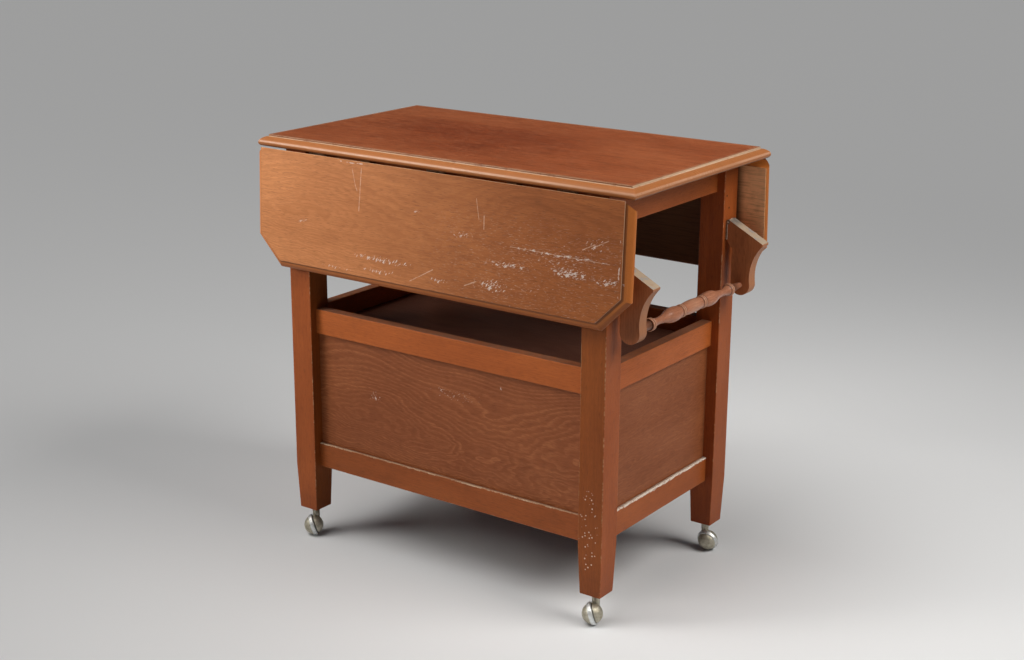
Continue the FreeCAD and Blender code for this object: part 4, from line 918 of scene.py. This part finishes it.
def turned(outline, middle, way, sides, layers=()):
    """A turned piece: rings, each given as distance along the axis, radius and the layers' values."""
    shape = bmesh.new()
    held = [shape.verts.layers.float.new(name) for name in layers]
    across = way.orthogonal().normalized()
    over = way.cross(across)
    rings = []
    for at, thick, *values in outline:
        ring = []
        for step in range(sides):
            turn = math.tau * step / sides
            spoke = across * math.cos(turn) + over * math.sin(turn)
            vert = shape.verts.new(middle + way * at + spoke * thick)
            for layer, value in zip(held, values):
                vert[layer] = value
            ring.append(vert)
        rings.append(ring)
    for first, second in zip(rings, rings[1:]):
        for step in range(sides):
            after = (step + 1) % sides
            shape.faces.new((first[step], second[step], second[after], first[after]))
    for ring, (_, thick, *_) in ((rings[0], outline[0]), (rings[-1], outline[-1])):
        if thick:
            shape.faces.new(ring)
    bmesh.ops.remove_doubles(shape, verts=shape.verts, dist=1e-7)
    bmesh.ops.recalc_face_normals(shape, faces=shape.faces)
    return shape


RAIL_CREST, RAIL_QUIRK = (0.64, 0.40, 0.27), (0.045, 0.015, 0.007)


def rail_marks(tree, spot):
    """Rubbed crests and dark quirks, from the values that the lathe left on the rings."""
    return [(times(tree, attribute(tree, "crest"), 0.7), RAIL_CREST, 0.0),
            (times(tree, attribute(tree, "quirk"), 0.9), RAIL_QUIRK, 0.1)]


finish = oak("oak_handle_rail", GRAIN_Y_FLAT, (0.1, 0.5, 0.2), (0.490, 0.215, 0.128), (0.310, 0.118, 0.063),
             depth=0.13, wander=0.03, rubbed=0.0, gloss=0.24, marks=rail_marks)
shape = turned(outline, RAIL_AXIS, Vector((0, 1, 0)), 40, ("quirk", "crest"))
finish_piece(shape, "handle_rail", "handle", finish, smooth=50)

# Ball casters
# A plated steel caster under each leg: a pressed hood whose stem turns in a socket driven into the leg, a
# leaning axle through the hood, and a domed wheel with a bright tread.
caster_plate = metal("worn_caster_plate", (0.54, 0.51, 0.42), (0.36, 0.33, 0.25), shine=0.42,
                     metallic=0.8, scale=140.0)
caster_tread = metal("bright_caster_tread", (0.76, 0.78, 0.78), (0.56, 0.57, 0.56), shine=0.36,
                     metallic=0.75, scale=160.0)
# The wheel's outline from its dome to its bore: distance along the axle and radius
DOME = 0.0175
TREAD = [
    (-0.0050, 0.0168), (-0.0051, 0.0178), (-0.0047, 0.0184), (-0.0033, 0.01895), (-0.0019, 0.0194),
    (-0.0007, 0.01982), (0.0004, 0.01992), (0.0014, 0.0196), (0.0022, 0.0190), (0.0025, 0.0182),
    (0.0025, 0.0170),
]
HUB = [(0.0025, 0.0055), (0.0032, 0.0055), (0.0032, 0.00306), (-0.00806, 0.00306), (-0.00806, 0.0)]
dome_turns = [math.radians(turn) for turn in range(0, 73, 6)]
WHEEL = [(-DOME * math.cos(turn), DOME * math.sin(turn)) for turn in dome_turns] + TREAD + HUB
TREAD_START, TREAD_END, TREAD_INNER = -0.0052, 0.0026, 0.0171
for corner in CORNERS:
    for piece in ("hood", "axle"):
        eased_piece(f"caster_{piece}_{corner}", f"caster_{corner}", caster_plate, width=0,
                    smooth=40)
    joint = JOINTS[f"wheel_{corner}"]
    hub, axle = Vector(joint["pos_m"]), Vector(joint["axis"]).normalized()
    shape = turned(WHEEL, hub, axle, 48)
    for face in shape.faces:
        offset = face.calc_center_median() - hub
        beside = offset.dot(axle)
        out_from = (offset - axle * beside).length
        face.material_index = 1 if TREAD_START < beside < TREAD_END and out_from > TREAD_INNER else 0
    finish_piece(shape, f"caster_wheel_{corner}", f"wheel_{corner}",
                 [caster_plate, caster_tread], smooth=40)
eased_piece("caster_sockets", "frame", hinge_steel, width=0, smooth=40)

# Studio
# A plain pale floor, a soft sun from the front left, softboxes at the front and the end, and a camera at the
# photograph's angle.
floor_mesh = bpy.data.meshes.new("floor")
floor_mesh.from_pydata([(-20, -20, 0), (20, -20, 0), (20, 20, 0), (-20, 20, 0)], [], [(0, 1, 2, 3)])
floor = bpy.data.objects.new("floor", floor_mesh)
bpy.context.scene.collection.objects.link(floor)
pale = bpy.data.materials.new("pale_floor")
pale.use_nodes = True
floor_shader = pale.node_tree.nodes["Principled BSDF"]
floor_shader.inputs["Base Color"].default_value = (0.66, 0.68, 0.71, 1.0)
floor_shader.inputs["Roughness"].default_value = 0.7
floor_mesh.materials.append(pale)

world = bpy.data.worlds.new("studio")
world.use_nodes = True
sky = world.node_tree.nodes["Background"]
sky.inputs["Color"].default_value = (0.90, 0.93, 1.0, 1.0)
sky.inputs["Strength"].default_value = 0.05
bpy.context.scene.world = world


def lamp(name, light, at, aim):
    made = bpy.data.objects.new(name, light)
    made.location = at
    made.rotation_euler = (Vector(aim) - Vector(at)).to_track_quat("-Z", "Y").to_euler()
    bpy.context.scene.collection.objects.link(made)


def softbox(name, at, aim, size, watts, spread, tint=(1.0, 0.955, 0.89)):
    light = bpy.data.lights.new(name, "AREA")
    light.shape, light.size, light.energy, light.color = "SQUARE", size, watts, tint
    light.spread = math.radians(spread)
    lamp(name, light, at, aim)


sun = bpy.data.lights.new("soft_sun", "SUN")
sun.energy, sun.angle, sun.color = 1.75, math.radians(40), (1.0, 0.965, 0.91)
lamp("soft_sun", sun, (-0.22, -0.37, 0.90), (0, 0, 0))
softbox("key_softbox", (-1.25, -1.35, 1.35), (-0.24, -0.2, 0.78), 0.9, 2.8, 50)
softbox("edge_softbox", (-0.98, -1.23, 1.78), (0.04, -0.218, 0.73), 0.3, 0.16, 40)
softbox("end_softbox", (1.9, 0.3, 2.2), (0.33, 0.0, 0.4), 1.5, 15, 90)

FOCAL_PX, PICTURE_WIDTH, SENSOR = 1624.39, 1024, 36.0
YAW, PITCH, ROLL = 35.54, 16.70, 0.30
TARGET = Vector(((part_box("leg_front_left")[0].x + leg_face) / 2 + 0.00499, 0.0, 0.40273))
DISTANCE = 2.8668
yaw, pitch, roll = (math.radians(angle) for angle in (YAW, PITCH, ROLL))
back = Vector((math.sin(yaw) * math.cos(pitch), -math.cos(yaw) * math.cos(pitch), math.sin(pitch)))
level_right = Vector((0, 0, 1)).cross(back).normalized()
level_up = back.cross(level_right)
right = level_right * math.cos(roll) + level_up * math.sin(roll)
up = level_up * math.cos(roll) - level_right * math.sin(roll)
camera = bpy.data.objects.new("camera", bpy.data.cameras.new("camera"))
camera.data.sensor_width = SENSOR
camera.data.lens = FOCAL_PX / PICTURE_WIDTH * SENSOR
stand = Matrix((right, up, back)).transposed().to_4x4()
stand.translation = TARGET + back * DISTANCE
camera.matrix_world = stand
bpy.context.scene.collection.objects.link(camera)
bpy.context.scene.camera = camera
bpy.context.scene.view_settings.view_transform = "Standard"
